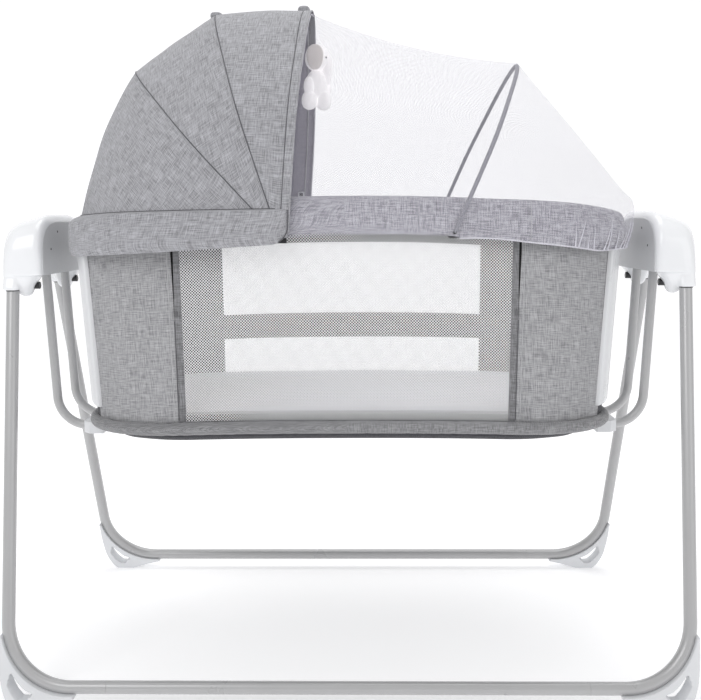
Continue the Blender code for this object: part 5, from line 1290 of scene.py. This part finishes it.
    def zip(self, side_name, side):
        """A zip: a near-black tape behind the slit, a real tape whose black in the open slit is painted shade, and
        two rows of teeth, closed below the slider, open above.
        """
        heights = np.linspace(WINDOW_LOW + 0.002, WINDOW_HIGH - 0.002, 90)
        stations = side * (ZIP_STATION + np.linspace(-0.016, 0.016, 5))
        layers = (wall_grid(stations, heights, -WALL_THICKNESS - depth) for depth in (0.0004, 0.0010))
        strip = shell(f"zip_tape_{side_name}", *layers, finish("zip_tape"))
        place(strip, "cradle", "dark_strap")
        teeth = np.arange(WINDOW_LOW + 0.003, WINDOW_HIGH - 0.003, ZIP_TOOTH_STEP)
        gap = np.clip((teeth - ZIP_SLIDER_HEIGHT - 0.004) / ZIP_OPENING, 0, 1) * 0.0030
        sway = np.where(np.arange(len(teeth)) % 2, 1.0, -1.0)
        line = wall_grid(np.array([side * ZIP_STATION]), teeth, -0.0022)[0]
        centres = line + np.stack([sway * (gap + 0.0004), teeth * 0, teeth * 0], -1)
        self.blocks(f"zip_teeth_{side_name}", centres, (0.0010, 0.0006, 0.0007), "black_plastic", "dark_strap")
        low, high = (Vector(corner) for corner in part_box(f"zip_slider_{side_name}"))
        middle, half = (low + high) / 2, (0.0024, 0.0014, 0.0052)
        body = pebble(f"zip_pull_{side_name}", middle, half, 0.55, finish("dark_zinc"))
        place(body, f"slider_{side_name}", "zinc_steel", f"zip_slider_{side_name}")

    def blocks(self, name, centres, half, finish_name, slot):
        """One small block at each centre: eight corners and six faces, repeated as arrays."""
        signs = np.array([[a, b, c] for a in (-1, 1) for b in (-1, 1) for c in (-1, 1)], float)
        corners = centres[:, None] + signs[None] * np.asarray(half)
        quads = np.array([[0, 1, 3, 2], [4, 6, 7, 5], [0, 4, 5, 1], [2, 3, 7, 6], [0, 2, 6, 4], [1, 5, 7, 3]])
        faces = (quads[None] + 8 * np.arange(len(centres))[:, None, None]).reshape(-1, 4)
        cloth = np.zeros((faces.size, 2))
        obj = new_mesh(name, corners.reshape(-1, 3), faces, cloth, [finish(finish_name)], sharp=30)
        place(obj, "cradle", slot)

    def window(self, end_name, middle):
        """A sheet of netting: flat between its edges, drawn in a little by its weight."""
        front = end_name == "front"
        stations = middle + np.linspace(-WINDOW_EDGE, WINDOW_EDGE, 121)
        low, high = WINDOW_LOW, WINDOW_HIGH if front else REAR_WINDOW_HIGH
        heights = np.linspace(low, high, 71)
        share_u = np.cos((stations - middle) / WINDOW_EDGE * math.pi / 2)[:, None]
        share_v = np.sin((heights - low) / (high - low) * math.pi)[None, :]
        points = wall_grid(stations, heights, -0.0013 - (0.0022 if front else 0.0) * share_u * share_v)
        netting = finish("grey_netting" if front else "rear_netting")
        net = skin(f"window_net_{end_name}", points, netting, centre=(0, 0, 0.6))
        place(net, "cradle", "grey_netting", f"window_{end_name}")

    def plate(self, side_name, middle):
        """A white end plate, in a darker copy of the housing's white that is painted shade: a smooth wall round the
        basket's end with rounded edges, and a dark strip of cloth below it."""
        stations = even_stations(middle - PLATE_REACH, middle + PLATE_REACH, 161)
        heights = np.linspace(PLATE_BOTTOM, WALL_TOP, 61)
        run = (1 - np.abs(np.linspace(-1, 1, len(stations)))) * 0.35
        near = np.minimum(run[:, None], heights[None, :] - PLATE_BOTTOM)
        fall = PLATE_EDGE - np.sqrt(np.maximum(0.0, PLATE_EDGE**2 - np.maximum(0.0, PLATE_EDGE - near) ** 2))
        sunk = (-fall, -PLATE_THICKNESS)
        layers = (wall_grid(stations, heights, depth, PLATE_OUT, PLATE_BOTTOM) for depth in sunk)
        plate = shell(f"end_plate_{side_name}", *layers, finish("end_plate"))
        place(plate, "cradle", "gloss_shell", f"end_shell_{side_name}")
        heights = np.linspace(WALL_BOTTOM - 0.0060, PLATE_BOTTOM + 0.0080, 9)
        layers = (wall_grid(stations, heights, 0.0, (out, out), heights[0]) for out in GUSSET_OUT)
        gusset = shell(f"end_gusset_{side_name}", *layers, finish("charcoal_fabric"))
        place(gusset, "cradle", "charcoal_fabric")


def pebble(name, centre, half, squareness, mat, taper=0.0, columns=28, rows=18):
    """A rounded form with poles: a ball whose sines are raised to a power, drawn out to its half sizes."""
    up = np.linspace(-math.pi / 2, math.pi / 2, rows)[:, None]
    round_ = np.linspace(0, FULL_TURN, columns, endpoint=False)[None, :]

    def power(value):
        return np.sign(value) * np.abs(value) ** squareness

    z = power(np.sin(up)) + 0 * round_
    slim = 1 - taper * (z + 1) / 2
    x = power(np.cos(up)) * power(np.cos(round_)) * slim
    y = power(np.cos(up)) * power(np.sin(round_)) * slim
    points = np.stack([x * half[0], y * half[1], z * half[2]], -1) + np.asarray(centre, float)
    return skin(name, points, mat, closed_v=True)


class BASSINET_OT_rim(bpy.types.Operator):
    """The padded skirt over the rim"""

    bl_idname = "bassinet.rim"
    bl_label = "Rim skirt"

    def execute(self, context):
        # painted shade: the rim tube, steel under the skirt, is made black so that the hub seen at the valance's
        # corner reads as shadow
        dress("rim_tube", "black_plastic")
        count = 1000
        stations = even_stations(0, 12, count + 1)[:-1]
        run = (np.arange(count) / count * station_lengths(RIM_HALF)[-1])[:, None]
        x, y, _, _ = plan(stations, RIM_HALF)
        x = x[:, None]
        low = skirt_edge(x)
        free = smooth((x + 0.10) / 0.06)
        low = low + 0.0012 * ripple(run, 0 * run, 41, 0.09) * free
        flap = np.linspace(0, 1, 22)[None, :-1]
        turn = np.linspace(0, math.pi, 19)[None, :]
        inner = np.linspace(0, 1, 10)[None, 1:]
        ones = np.ones_like(run)
        foot = smooth((x - 0.34) / 0.10)
        crown = 0.0065 * smooth((x - 0.20) / 0.22)
        swell = (0.0024 + 0.0070 * foot) * np.sin(math.pi * np.clip(flap * 0.92 + 0.02, 0, 1)) ** 0.8 * free
        swell = swell - 0.0040 * foot * (1 - flap) ** 4
        pucker = 0.0007 * ripple(run, flap * 0.06, 43, 0.018) * (1 - flap) ** 0.5 * free
        pleat = np.abs(np.sin(run * math.pi / 0.019 + flap * 1.6 + 1.3 * np.sin(run * 47))) ** 3
        pucker = pucker + 0.0042 * foot * pleat * np.clip(1.0 - flap * 1.7, 0, 1) ** 1.3

        def layer(reach):
            """The flap, the roll over the rim and the inner flap, at a distance from the rim's line."""
            out = np.hstack([reach + swell + pucker, reach * np.cos(turn) * ones, -reach + 0 * inner * ones])
            roll = RIM_HEIGHT + (reach + crown) * np.sin(turn)
            down = RIM_HEIGHT + (SKIRT_INNER_LOW - RIM_HEIGHT) * inner * ones
            height = np.hstack([low + (RIM_HEIGHT - low) * flap, roll, down])
            return carried(stations, RIM_HALF, rim_drop, out, height)

        outside, inside = layer(SKIRT_OUT), layer(SKIRT_OUT - SKIRT_WALL)
        skirt = shell("rim_skirt_pad", outside, inside, finish("rim_fabric"), closed_u=True)
        place(skirt, "cradle", "grey_fabric", "rim_skirt")
        for end_name, end in ENDS:
            column = np.argmin(np.abs(x[:, 0] - SKIRT_SEAM_X) + (end * y < 0))
            line = outside[column, :28] + (0, end * 0.0004, 0.0)
            seam = tube(f"rim_seam_{end_name}", line, 0.0006, (1, 0, 0), finish("fold_thread"), 8)
            place(seam, "cradle", "white_netting")
        return {"FINISHED"}


def skirt_edge(x):
    """Height of the flap's edge over the rim's line: lower away from the middle, drawn up at both ends."""
    far = np.abs(x)
    return SKIRT_LOW - SKIRT_END_GROWTH * far / RIM_HALF[0] + SKIRT_END_RISE * smooth((far - 0.40) / 0.085)


def bow(top, base, half_width, angle):
    """A bow over the basket: its height is the sine of the angle, its width an ellipse, which near its
    feet stays wide as the cube root of one less the height cubed."""
    h = np.sin(angle)
    wide = np.cbrt(np.maximum(0.0, 1 - h**3))
    share = smooth((h - 0.4) / 0.4)
    y = -np.sign(np.cos(angle)) * half_width * (wide + (np.abs(np.cos(angle)) - wide) * share)
    return np.stack([base[0] + (top[0] - base[0]) * h, y, base[1] + (top[1] - base[1]) * h], -1)


def valance_out(x):
    """How far the valance stands off the rim's line: wide at the hubs, close at the head end."""
    return VALANCE_HUB_OUT + (VALANCE_END_OUT - VALANCE_HUB_OUT) * smooth((np.abs(x) - 0.300) / 0.140)


def hood_out(x):
    """How far the hood's sewn edge stands off the rim's line: inside the valance, more so at the head end."""
    return valance_out(x) - 0.0014 - HOOD_END_INSET * smooth((np.abs(x) - 0.34) / 0.12)


def head_line(count):
    """The hood's sewn edge: from the front hub round the head end to the rear hub, inside the valance."""
    share = HOOD_PIVOT[0] / (RIM_HALF[0] - CORNER)
    stations = even_stations(12 + share, 6 - share, count)
    x, y, nx, ny = plan(stations, RIM_HALF)
    top = VALANCE_TOP + VALANCE_DROP_SHARE * rim_drop(x) - 0.003
    from_hub = np.minimum(np.arange(count), np.arange(count)[::-1]) / count
    z = HOOD_PIVOT[1] + (top - HOOD_PIVOT[1]) * smooth(from_hub / 0.10)
    return stood_off(x, y, nx, ny, hood_out(x), z)


class BASSINET_OT_hood(bpy.types.Operator):
    """The three gores of the hood, their bows, seams, hem and valance"""

    bl_idname = "bassinet.hood"
    bl_label = "Hood"

    def execute(self, context):
        hood = context.scene.hood
        count = 141
        angle = np.linspace(0, math.pi, count)
        tops = (REAR_TOP, MIDDLE_TOP, FRONT_TOP)
        rear, middle, front = (bow(top, HOOD_PIVOT, HOOD_HALF_WIDTH, angle) for top in tops)
        head = head_line(count)
        rows = (
            ("rear", rear, head, hood.rear_bulge, 44, ("cradle", "canopy_rear"), (1.06, 0.25), 0.6, 0.56),
            ("middle", middle, rear, 0.002, 30, ("canopy_rear", "canopy_middle"), (1.33, 0.18), 0.55, 0.0),
            ("front", front, middle, hood.front_bulge, 34, ("canopy_middle", "canopy_front"), (1.34, 0.17), 0.5, 0),
        )
        for name, *values in rows:
            self.gore(f"hood_gore_{name}", *values)
        self.hem(front, front + (HEM_REACH, 0.0, 0.0))
        self.seams(hood, {"canopy_rear": rear, "canopy_middle": middle, "canopy_front": front})
        self.buckle()
        self.valance()
        return {"FINISHED"}

    def gore(self, name, first, last, bulge, steps, bodies, flat, area, skew):
        """One gore: straight lines from bow to bow, lifted by a leaning parabola across it and a sine along it."""
        t = np.linspace(0, 1, steps + 1)[:, None, None]
        angle = np.linspace(0, math.pi, first.shape[0])
        across = (last - first)[first.shape[0] // 2]
        lift = unit(np.array([across[2], 0.0, -across[0]]))
        lift = lift if lift[2] > 0 else -lift
        rise = bulge * 4 * t * (1 - t) * (1 - skew * (t - 0.5)) * np.sin(angle)[None, :, None] ** 1.5
        points = first + (last - first) * t + rise * lift
        cloth = cloth_grid(points)
        slack = ripple(cloth[..., 0], cloth[..., 1], len(name), 0.09) * 0.0011 * (4 * t * (1 - t))[..., 0]
        normals = grid_normals(points, (HOOD_PIVOT[0] - 0.1, 0.0, HOOD_MIDDLE_HEIGHT))
        outside = points + normals * slack[..., None]
        inside = outside - normals * HOOD_WALL
        inside[:, 0] = outside[:, 0] + (0, HOOD_WALL, 0)
        inside[:, -1] = outside[:, -1] - (0, HOOD_WALL, 0)
        gore = shell(name, outside, inside, finish("hood_fabric"), lining=finish("hood_lining"))
        place(gore, None, "grey_fabric", *(["canopy_fabric"] if name == "hood_gore_middle" else []))
        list(bodies)
        self.fold(last)
        self.fold(first)
        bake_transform(gore)
        area = flat[0] * flat[1] * area

    def fold(self, curve):
        """The point a third of the way from the hub to the middle of a bow or an edge."""
        return tuple(HOOD_HUB + (curve[len(curve) // 2] - HOOD_HUB) * 0.35)

    def hem(self, front, hem):
        """The doubled hem ahead of the front bow, with a cord along its edge."""
        t = np.linspace(0, 1, 9)[:, None, None]
        points = front + (hem - front) * t
        points[..., 1] += np.sign(points[..., 1]) * 0.0012 * np.sin(t[..., 0] * math.pi)
        normals = unit((points - (HOOD_PIVOT[0], 0, HOOD_MIDDLE_HEIGHT)) * (0, 1, 1))
        outside = points + normals * 0.0006
        inside = points - normals * 0.0014
        band = shell("hood_hem", outside, inside, finish("hood_fabric"), lining=finish("hood_lining"))
        place(band, "canopy_front", "grey_fabric")
        edge = hem + normals[0] * 0.0002
        cord = tube("hood_hem_piping", edge[1:-1], 0.0016, (1, 0, 0), finish("hood_fabric"), 14)
        place(cord, "canopy_front", "grey_fabric")

    def seams(self, hood, bows):
        """Wires under the fabric and piping in the seams over them."""
        for body, curve in bows.items():
            away = unit(curve - HOOD_HUB)
            top = curve[len(curve) // 2]
            normal = unit(np.cross(top - HOOD_HUB, (0, 1, 0)))
            node, name = body.replace("canopy_", "canopy_bow_"), body.removeprefix("canopy_")
            rod = tube(f"{node}_wire", (curve - away * 0.0030)[1:-1], 0.0013, normal, finish("zinc_steel"), 12)
            place(rod, body, "zinc_steel", node)
            line, radius = (curve + away * 0.0002)[4:-4], hood.piping_radius * 0.7
            piping = tube(f"hood_seam_{name}", line, radius, normal, finish("seam_thread"), 10)
            place(piping, body, "dark_strap")
            if body != "canopy_rear":
                high = 0.0035 if body == "canopy_front" else 0.0015
                centre, half = Vector(top) + Vector((-0.003, 0, high)), (0.0110, 0.016, 0.0050 + high)
                knob = pebble(f"hood_knob_{name}", centre, half, 0.70, finish("hood_fabric"))
                place(knob, body, "grey_fabric")

    def buckle(self):
        """A small buckle on the lining of the far side: a pale frame round a dark bar."""
        parts = (
            ("hood_buckle_frame", 0.0, (0.0068, 0.0018, 0.0056), "white_plastic"),
            ("hood_buckle_bar", 0.0012, (0.0040, 0.0014, 0.0036), "black_plastic"),
        )
        for name, ahead, half, mat in parts:
            centre = Vector(BUCKLE_PLACE) - Vector((0, ahead, 0))
            place(pebble(name, centre, half, 0.35, finish(mat)), "canopy_front", mat)

    def valance(self):
        """The band round the head end: a padded face with a rounded shoulder that runs in to the hood's edge,
        carried along the rim's line; its front corners are round and bear a dark line that is painted shadow of
        their outline."""
        share = VALANCE_FRONT_X / (RIM_HALF[0] - CORNER)
        stations = even_stations(6 - share, 12 + share, 420)
        x, y, nx, ny = plan_columns(stations, RIM_HALF)
        run = running(np.hstack([x, y]))
        near = np.minimum(run, run[-1] - run)[:, None]
        corner = VALANCE_CORNER
        lift = corner - np.sqrt(np.maximum(0.0, corner**2 - np.maximum(0.0, corner - near) ** 2))
        end = smooth((np.abs(x) - 0.34) / 0.12)
        top = VALANCE_TOP + VALANCE_DROP_SHARE * rim_drop(x)
        fall = VALANCE_FALL * np.minimum(1.0, np.abs(x) / VALANCE_FALL_REACH)
        lower = np.minimum(VALANCE_BOTTOM - fall + lift, top - 0.012)
        round_ = 0.003 + 0.015 * end
        level = np.linspace(0, 1, 22)[None, :]
        turn = np.linspace(0, VALANCE_SHOULDER, 9)[None, 1:]
        inward = (np.cos(turn) - math.cos(VALANCE_SHOULDER)) / (1 - math.cos(VALANCE_SHOULDER))
        upward = np.sin(turn) / math.sin(VALANCE_SHOULDER)
        ends = smooth(near / 0.012)
        edge = np.sin(math.pi / 2 * np.clip(level / 0.25, 0, 1)) * (0.5 + 0.5 * ends)
        pad = 0.0012 + (0.0022 + 0.0012 * end) * edge + 0.0010 * np.sin(math.pi * level) * ends
        wrinkle = 0.0008 * ripple(run[:, None], level * 0.05, 57, 0.05) * np.sin(math.pi * level)
        face_out = valance_out(x) + pad + np.minimum(wrinkle, 0.0006)
        face_z = lower + (top - round_ - lower) * level
        hood = hood_out(x)
        top_out = hood + (face_out[:, -1:] - hood) * inward
        top_z = top - round_ + round_ * upward
        out, z = np.hstack([face_out, top_out]), np.hstack([face_z, top_z])
        base = valance_out(x)
        in_out = np.hstack([base + 0 * face_out, hood + (base - hood) * inward])
        in_z = np.hstack([face_z, top - round_ + (round_ - 0.0015) * upward])
        outside = stood_off(x, y, nx, ny, out, z)
        inside = stood_off(x, y, nx, ny, in_out, in_z)
        band = shell("hood_valance_pad", outside, inside, finish("hood_fabric"))
        place(band, "cradle", "grey_fabric", "canopy_valance")
        line = stood_off(x, y, nx, ny, hood + 0.0004, top + 0.0002)[8:-8, 0]
        seam = tube("hood_valance_seam", line, 0.0009, (0, 0, 1), finish("seam_thread"), 10)
        place(seam, "cradle", "dark_strap")
        for end_name, side in ENDS:
            self.corner_painted_shadow(end_name, side)

    def corner_painted_shadow(self, end_name, side):
        """A dark line on the valance's front corner, set at its very edge as painted shadow of its outline: down
        beside its edge, then round with the corner.
        """
        # painted shadow: a dark thread at the corner's very edge
        width, corner = 0.0012, VALANCE_CORNER
        low = VALANCE_BOTTOM - VALANCE_FALL * abs(VALANCE_FRONT_X - corner) / VALANCE_FALL_REACH
        turn = np.linspace(0, math.radians(62), 14)
        radius = corner - width
        down = np.linspace(VALANCE_TOP - 0.002, low + corner, 10)[:-1]
        along = np.concatenate([width + 0 * down, corner - radius * np.cos(turn)])
        height = np.concatenate([down, low + corner - radius * np.sin(turn)])
        y = RIM_HALF[1] + VALANCE_HUB_OUT + 0.0036
        path = np.stack([VALANCE_FRONT_X - along, side * y + 0 * along, height], -1)
        seam = tube(f"hood_corner_seam_{end_name}", path, 0.0009, (0, 1, 0), finish("seam_thread"), 8)
        place(seam, "cradle", "dark_strap")


class BASSINET_OT_net(bpy.types.Operator):
    """The sheer net in two panels, its hoop and its gathered hem"""

    bl_idname = "bassinet.net"
    bl_label = "Net"

    def execute(self, context):
        count = 141
        angle = np.linspace(0, math.pi, count)
        half = RIM_HALF[1] + NET_OUT
        edge_base = (HOOD_PIVOT[0] + HEM_REACH, HOOD_PIVOT[1])
        first = bow((FRONT_TOP[0] + HEM_REACH, FRONT_TOP[1] - 0.006), edge_base, half - 0.0010, angle)
        hoop = bow((HOOP_TOP[0] + 0.001, HOOP_TOP[1] + 0.0052), HOOP_PIVOT, half, angle)
        self.front_panels(first, hoop)
        self.foot_panel(hoop, count)
        self.hoop(angle)
        return {"FINISHED"}

    def front_panels(self, first, hoop):
        """From the hood's edge to the hoop, in two halves: straight lines drawn in by a sag across and along."""
        t = np.linspace(0, 1, 41)[:, None, None]
        angle = np.linspace(0, math.pi, first.shape[0])
        sag = 0.016 * 4 * t * (1 - t) * np.sin(angle)[None, :, None]
        points = first + (hoop - first) * t - sag * np.array([0.0, 0.0, 1.0])
        near, far = NET_MIDDLE_X
        halves = (
            ("net_panel_front", points[:21], "net_front_edge", near, near - 0.10, ("net",)),
            ("net_panel_middle", points[20:], "net_hoop", far, far + 0.105, ()),
        )
        for name, grid, body, start, end, nodes in halves:
            panel = skin(name, grid, finish("sheer_net"), centre=(0.05, 0, 0.85))
            place(panel, None, "white_netting", *nodes)
            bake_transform(panel)
        edge = tube("net_front_hem", first[1:-1], 0.0012, (1, 0, 0), finish("net_hem"), 10)
        place(edge, "net_front_edge", "white_netting", "net_edge")

    def foot_panel(self, hoop, count):
        """From the hoop over the foot end: a smooth surface through the hoop, the shoulder and the hem."""
        share = HOOP_PIVOT[0] / (RIM_HALF[0] - CORNER)
        stations = even_stations(share, 6 - share, count)
        x, y, nx, ny = plan(stations, RIM_HALF)
        from_hub = np.minimum(np.arange(count), np.arange(count)[::-1]) / count
        run = running(np.stack([x, y], -1))
        rise = (NET_SHOULDER - HOOP_PIVOT[1]) * smooth(from_hub / 0.16)
        shoulder = stood_off(x, y, nx, ny, NET_OUT, HOOP_PIVOT[1] + rise)
        gather = smooth((x - 0.33) / 0.10)
        tuck = 0.0125 * gather
        skirt_low = skirt_edge(x) + rim_drop(x)
        hem_z = NET_LOW + (skirt_low + 0.0010 - NET_LOW) * smooth((x - HOOP_PIVOT[0]) / 0.12)
        low = stood_off(x, y, nx, ny, NET_OUT - tuck, hem_z)
        upper = hoop + (shoulder - hoop) * 0.5
        upper[:, 2] += 0.004 * np.sin(np.linspace(0, math.pi, count))
        near = hoop + (shoulder - hoop) * 0.88
        middle = shoulder + (low - shoulder) * 0.55 + stood_off(0, 0, nx, ny, tuck * 0.45, 0.0)
        rows = loft(np.stack([hoop, upper, near, shoulder, middle, low]), 60)
        level = np.linspace(0, 1, 61)[:, None]
        fold = smooth((level - 0.55) / 0.45) * gather[None, :]
        wave = np.sin(run[None, :] * FULL_TURN / 0.013 + 2.2 * np.sin(run[None, :] * 61)) * 0.0030 * fold
        rows[..., 0] += nx[None, :] * wave
        rows[..., 1] += ny[None, :] * wave
        panel = skin("net_panel_foot", rows, finish("sheer_net"), centre=(0.25, 0, 0.85))
        place(panel, None, "white_netting")
        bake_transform(panel)
        hem = tube("net_foot_hem", rows[-1, 1:-1], 0.0013, (0, 0, 1), finish("net_hem"), 10)
        place(hem, "cradle", "white_netting")
        self.pleats(rows, x, run, nx, ny)

    def pleats(self, rows, x, run, nx, ny):
        """Gathers of the elastic hem: slim folds that run up the net from it, slanted and tapered."""
        marks = np.arange(run[x > 0.36].min(), run[x > 0.36].max(), 0.0135)
        solids = []
        for k, mark in enumerate(marks):
            column = int(np.argmin(np.abs(run - mark - 0.004 * math.sin(5 * k))))
            length = 13 + int(5 * math.sin(2.3 * k))
            lean = 0.010 * math.sin(1.7 * k)
            share = np.linspace(0, 1, length)[:, None]
            out = np.array([nx[column], ny[column], 0.0])
            along = np.array([-ny[column], nx[column], 0.0])
            path = rows[::-1][:length, column] + out * 0.0012 + along * lean * share
            solids.append(tube("pleat", path, 0.0013 * (1 - 0.85 * share[:, 0]), out, finish("net_hem"), 8))
        place(joined("net_foot_gathers", solids), "cradle", "white_netting")

    def hoop(self, angle):
        """The hoop in its sleeve: a round bar with shallow gathers along it."""
        path = bow(HOOP_TOP, HOOP_PIVOT, HOOP_HALF_WIDTH, np.linspace(0, math.pi, 420))
        run = running(path)
        radius = HOOP_RADIUS + 0.00025 * ripple(run, run * 0, 71, 0.012)
        normal = unit(np.cross((HOOP_TOP[0] - HOOP_PIVOT[0], 0, HOOP_TOP[1] - HOOP_PIVOT[1]), (0, 1, 0)))
        sleeve = tube("hoop_sleeve", path, radius, normal, finish("hoop_sleeve"), 20)
        place(sleeve, "net_hoop", "hoop_sleeve", "net_hoop")


def loft(stations, steps):
    """A smooth surface through curves: a Catmull-Rom cubic from each curve to the next."""
    last = len(stations) - 1
    padded = np.concatenate([2 * stations[:1] - stations[1:2], stations, 2 * stations[-1:] - stations[-2:-1]])
    t = np.linspace(0, last, steps + 1)
    i = np.minimum(t.astype(int), last - 1)
    f = (t - i)[:, None, None]
    a, b, c, d = (padded[i + k] for k in range(4))
    return 0.5 * (2 * b + (c - a) * f + (2 * a - 5 * b + 4 * c - d) * f**2 + (3 * b - a - 3 * c + d) * f**3)


class BASSINET_OT_toy(bpy.types.Operator):
    """The plush elephant on its strap"""

    bl_idname = "bassinet.toy"
    bl_label = "Hanging toy"

    def execute(self, context):
        for name, base, offset, half, squareness, taper in TOY_PARTS:
            centre = Vector(base) + Vector(offset)
            mat = finish("ear_plush" if name.startswith("ear") else "plush")
            piece = pebble(f"toy_{name}", centre, half, squareness, mat, taper)
            nodes = [f"toy_{name}".removesuffix("_plush")] if name.endswith("_plush") else []
            place(piece, "toy", "plush", *nodes)
        for end_name, end in ENDS:
            centre, half = Vector(TOY_HEAD) + Vector((0.0165, end * 0.0125, -0.001)), (0.0021, 0.0021, 0.0021)
            eye = pebble(f"toy_eye_{end_name}", centre, half, 1.0, finish("bead_eye"), 0, 16, 10)
            place(eye, "toy", "black_plastic")
        self.strap()
        return {"FINISHED"}

    def strap(self):
        """The strap: flat webbing from the head up to the front bow, set back a little over the head."""
        foot = TOY_HEAD[2]
        level = np.linspace(foot + 0.018, FRONT_TOP[1] - 0.004, 24)[:, None]
        across = np.linspace(-TOY_STRAP_HALF, TOY_STRAP_HALF, 7)[None, :]
        back = 0.0045 * (1 - smooth((level - foot) / 0.05))
        outside = np.stack(np.broadcast_arrays(TOY_STRAP_X - across, back, level), -1)
        inside = outside - (0, TOY_STRAP_THICKNESS, 0)
        strap = shell("toy_strap_webbing", outside, inside, finish("dark_strap"))
        place(strap, "toy", "dark_strap", "toy_strap")


class BASSINET_OT_stage(bpy.types.Operator):
    """Plain pale floor, soft lights and the camera"""

    bl_idname = "bassinet.stage"
    bl_label = "Stage"

    def execute(self, context):
        stage = context.scene.stage
        self.floor()
        self.lights(stage)
        self.camera(context.scene)
        return {"FINISHED"}

    def floor(self):
        """A floor that turns up into a backdrop: a flat run, a quarter circle and a wall, pushed sideways."""
        turn = np.linspace(0, math.pi / 2, 24)
        bend, reach = BACKDROP_BEND, BACKDROP_REACH
        y = np.concatenate([[-reach], BACKDROP_DISTANCE + bend * np.sin(turn), [BACKDROP_DISTANCE + bend]])
        z = np.concatenate([[0.0], bend * (1 - np.cos(turn)), [BACKDROP_HEIGHT]])
        x = np.linspace(-reach, reach, 12)[:, None]
        points = np.stack(np.broadcast_arrays(x, y, z), -1)
        floor = skin("studio_floor", points, finish("plain_floor"), centre=(0, 0, -50))

    def lights(self, stage):
        world = bpy.data.worlds.new("studio_air")
        world.use_nodes = True
        background = world.node_tree.nodes["Background"]
        background.inputs["Color"].default_value = (1.0, 1.0, 1.0, 1.0)
        background.inputs["Strength"].default_value = stage.world_strength
        bpy.context.scene.world = world
        for name, where, aim, size, share in LIGHTS:
            self.area(name, where, aim, size, stage.key_power * share)

    def area(self, name, where, aim, size, power):
        light = bpy.data.lights.new(name, "AREA")
        light.size = size
        light.energy = power
        obj = bpy.data.objects.new(name, light)
        obj.location = where
        obj.rotation_euler = (Vector(aim) - Vector(where)).to_track_quat("-Z", "Y").to_euler()
        bpy.context.scene.collection.objects.link(obj)

    def camera(self, scene):
        scene.view_settings.view_transform = "Standard"
        yaw, pitch, roll = CAMERA_YAW, CAMERA_PITCH, CAMERA_ROLL
        right = Vector((math.cos(yaw), math.sin(yaw), 0.0))
        ahead = Vector((-math.sin(yaw) * math.cos(pitch), math.cos(yaw) * math.cos(pitch), -math.sin(pitch)))
        up = right.cross(ahead)
        turned_right = right * math.cos(roll) + up * math.sin(roll)
        turned_up = up * math.cos(roll) - right * math.sin(roll)
        data = bpy.data.cameras.new("photo_camera")
        data.sensor_width = SENSOR_WIDTH
        data.lens = FOCAL_PIXELS / PICTURE_WIDTH * SENSOR_WIDTH
        camera = bpy.data.objects.new("photo_camera", data)
        matrix = Matrix((turned_right, turned_up, -ahead)).transposed().to_4x4()
        matrix.translation = Vector(CAMERA_PLACE)
        camera.matrix_world = matrix
        scene.collection.objects.link(camera)
        scene.camera = camera


PIECES = (
    BASSINET_OT_stage,
    BASSINET_OT_stand,
    BASSINET_OT_housings,
    BASSINET_OT_arms,
    BASSINET_OT_bottom,
    BASSINET_OT_walls,
    BASSINET_OT_rim,
    BASSINET_OT_hood,
    BASSINET_OT_net,
    BASSINET_OT_toy,
)
SETTINGS = (
    ("stand", StandSettings),
    ("basket", BasketSettings),
    ("hood", HoodSettings),
    ("net", NetSettings),
    ("stage", StageSettings),
)


class BASSINET_PT_panel(bpy.types.Panel):
    """Settings and pieces of the bassinet"""

    bl_idname = "BASSINET_PT_panel"
    bl_label = "Bassinet"
    bl_space_type = "VIEW_3D"
    bl_region_type = "UI"
    bl_category = "Bassinet"

    def draw(self, context):
        for name, group in SETTINGS:
            column = self.layout.column(align=True)
            column.label(text=name.title())
            for key in group.__annotations__:
                column.prop(getattr(context.scene, name), key)
        for piece in PIECES:
            self.layout.operator(piece.bl_idname)


def register():
    for name, group in SETTINGS:
        bpy.utils.register_class(group)
        setattr(bpy.types.Scene, name, PointerProperty(type=group))
    for piece in PIECES:
        bpy.utils.register_class(piece)
    bpy.utils.register_class(BASSINET_PT_panel)


def unregister():
    bpy.utils.unregister_class(BASSINET_PT_panel)
    for piece in reversed(PIECES):
        bpy.utils.unregister_class(piece)
    for name, group in reversed(SETTINGS):
        delattr(bpy.types.Scene, name)
        bpy.utils.unregister_class(group)


def main():
    register()
    for piece in PIECES:
        group, name = piece.bl_idname.split(".")
        getattr(getattr(bpy.ops, group), name)()


if __name__ == "__main__":
    main()
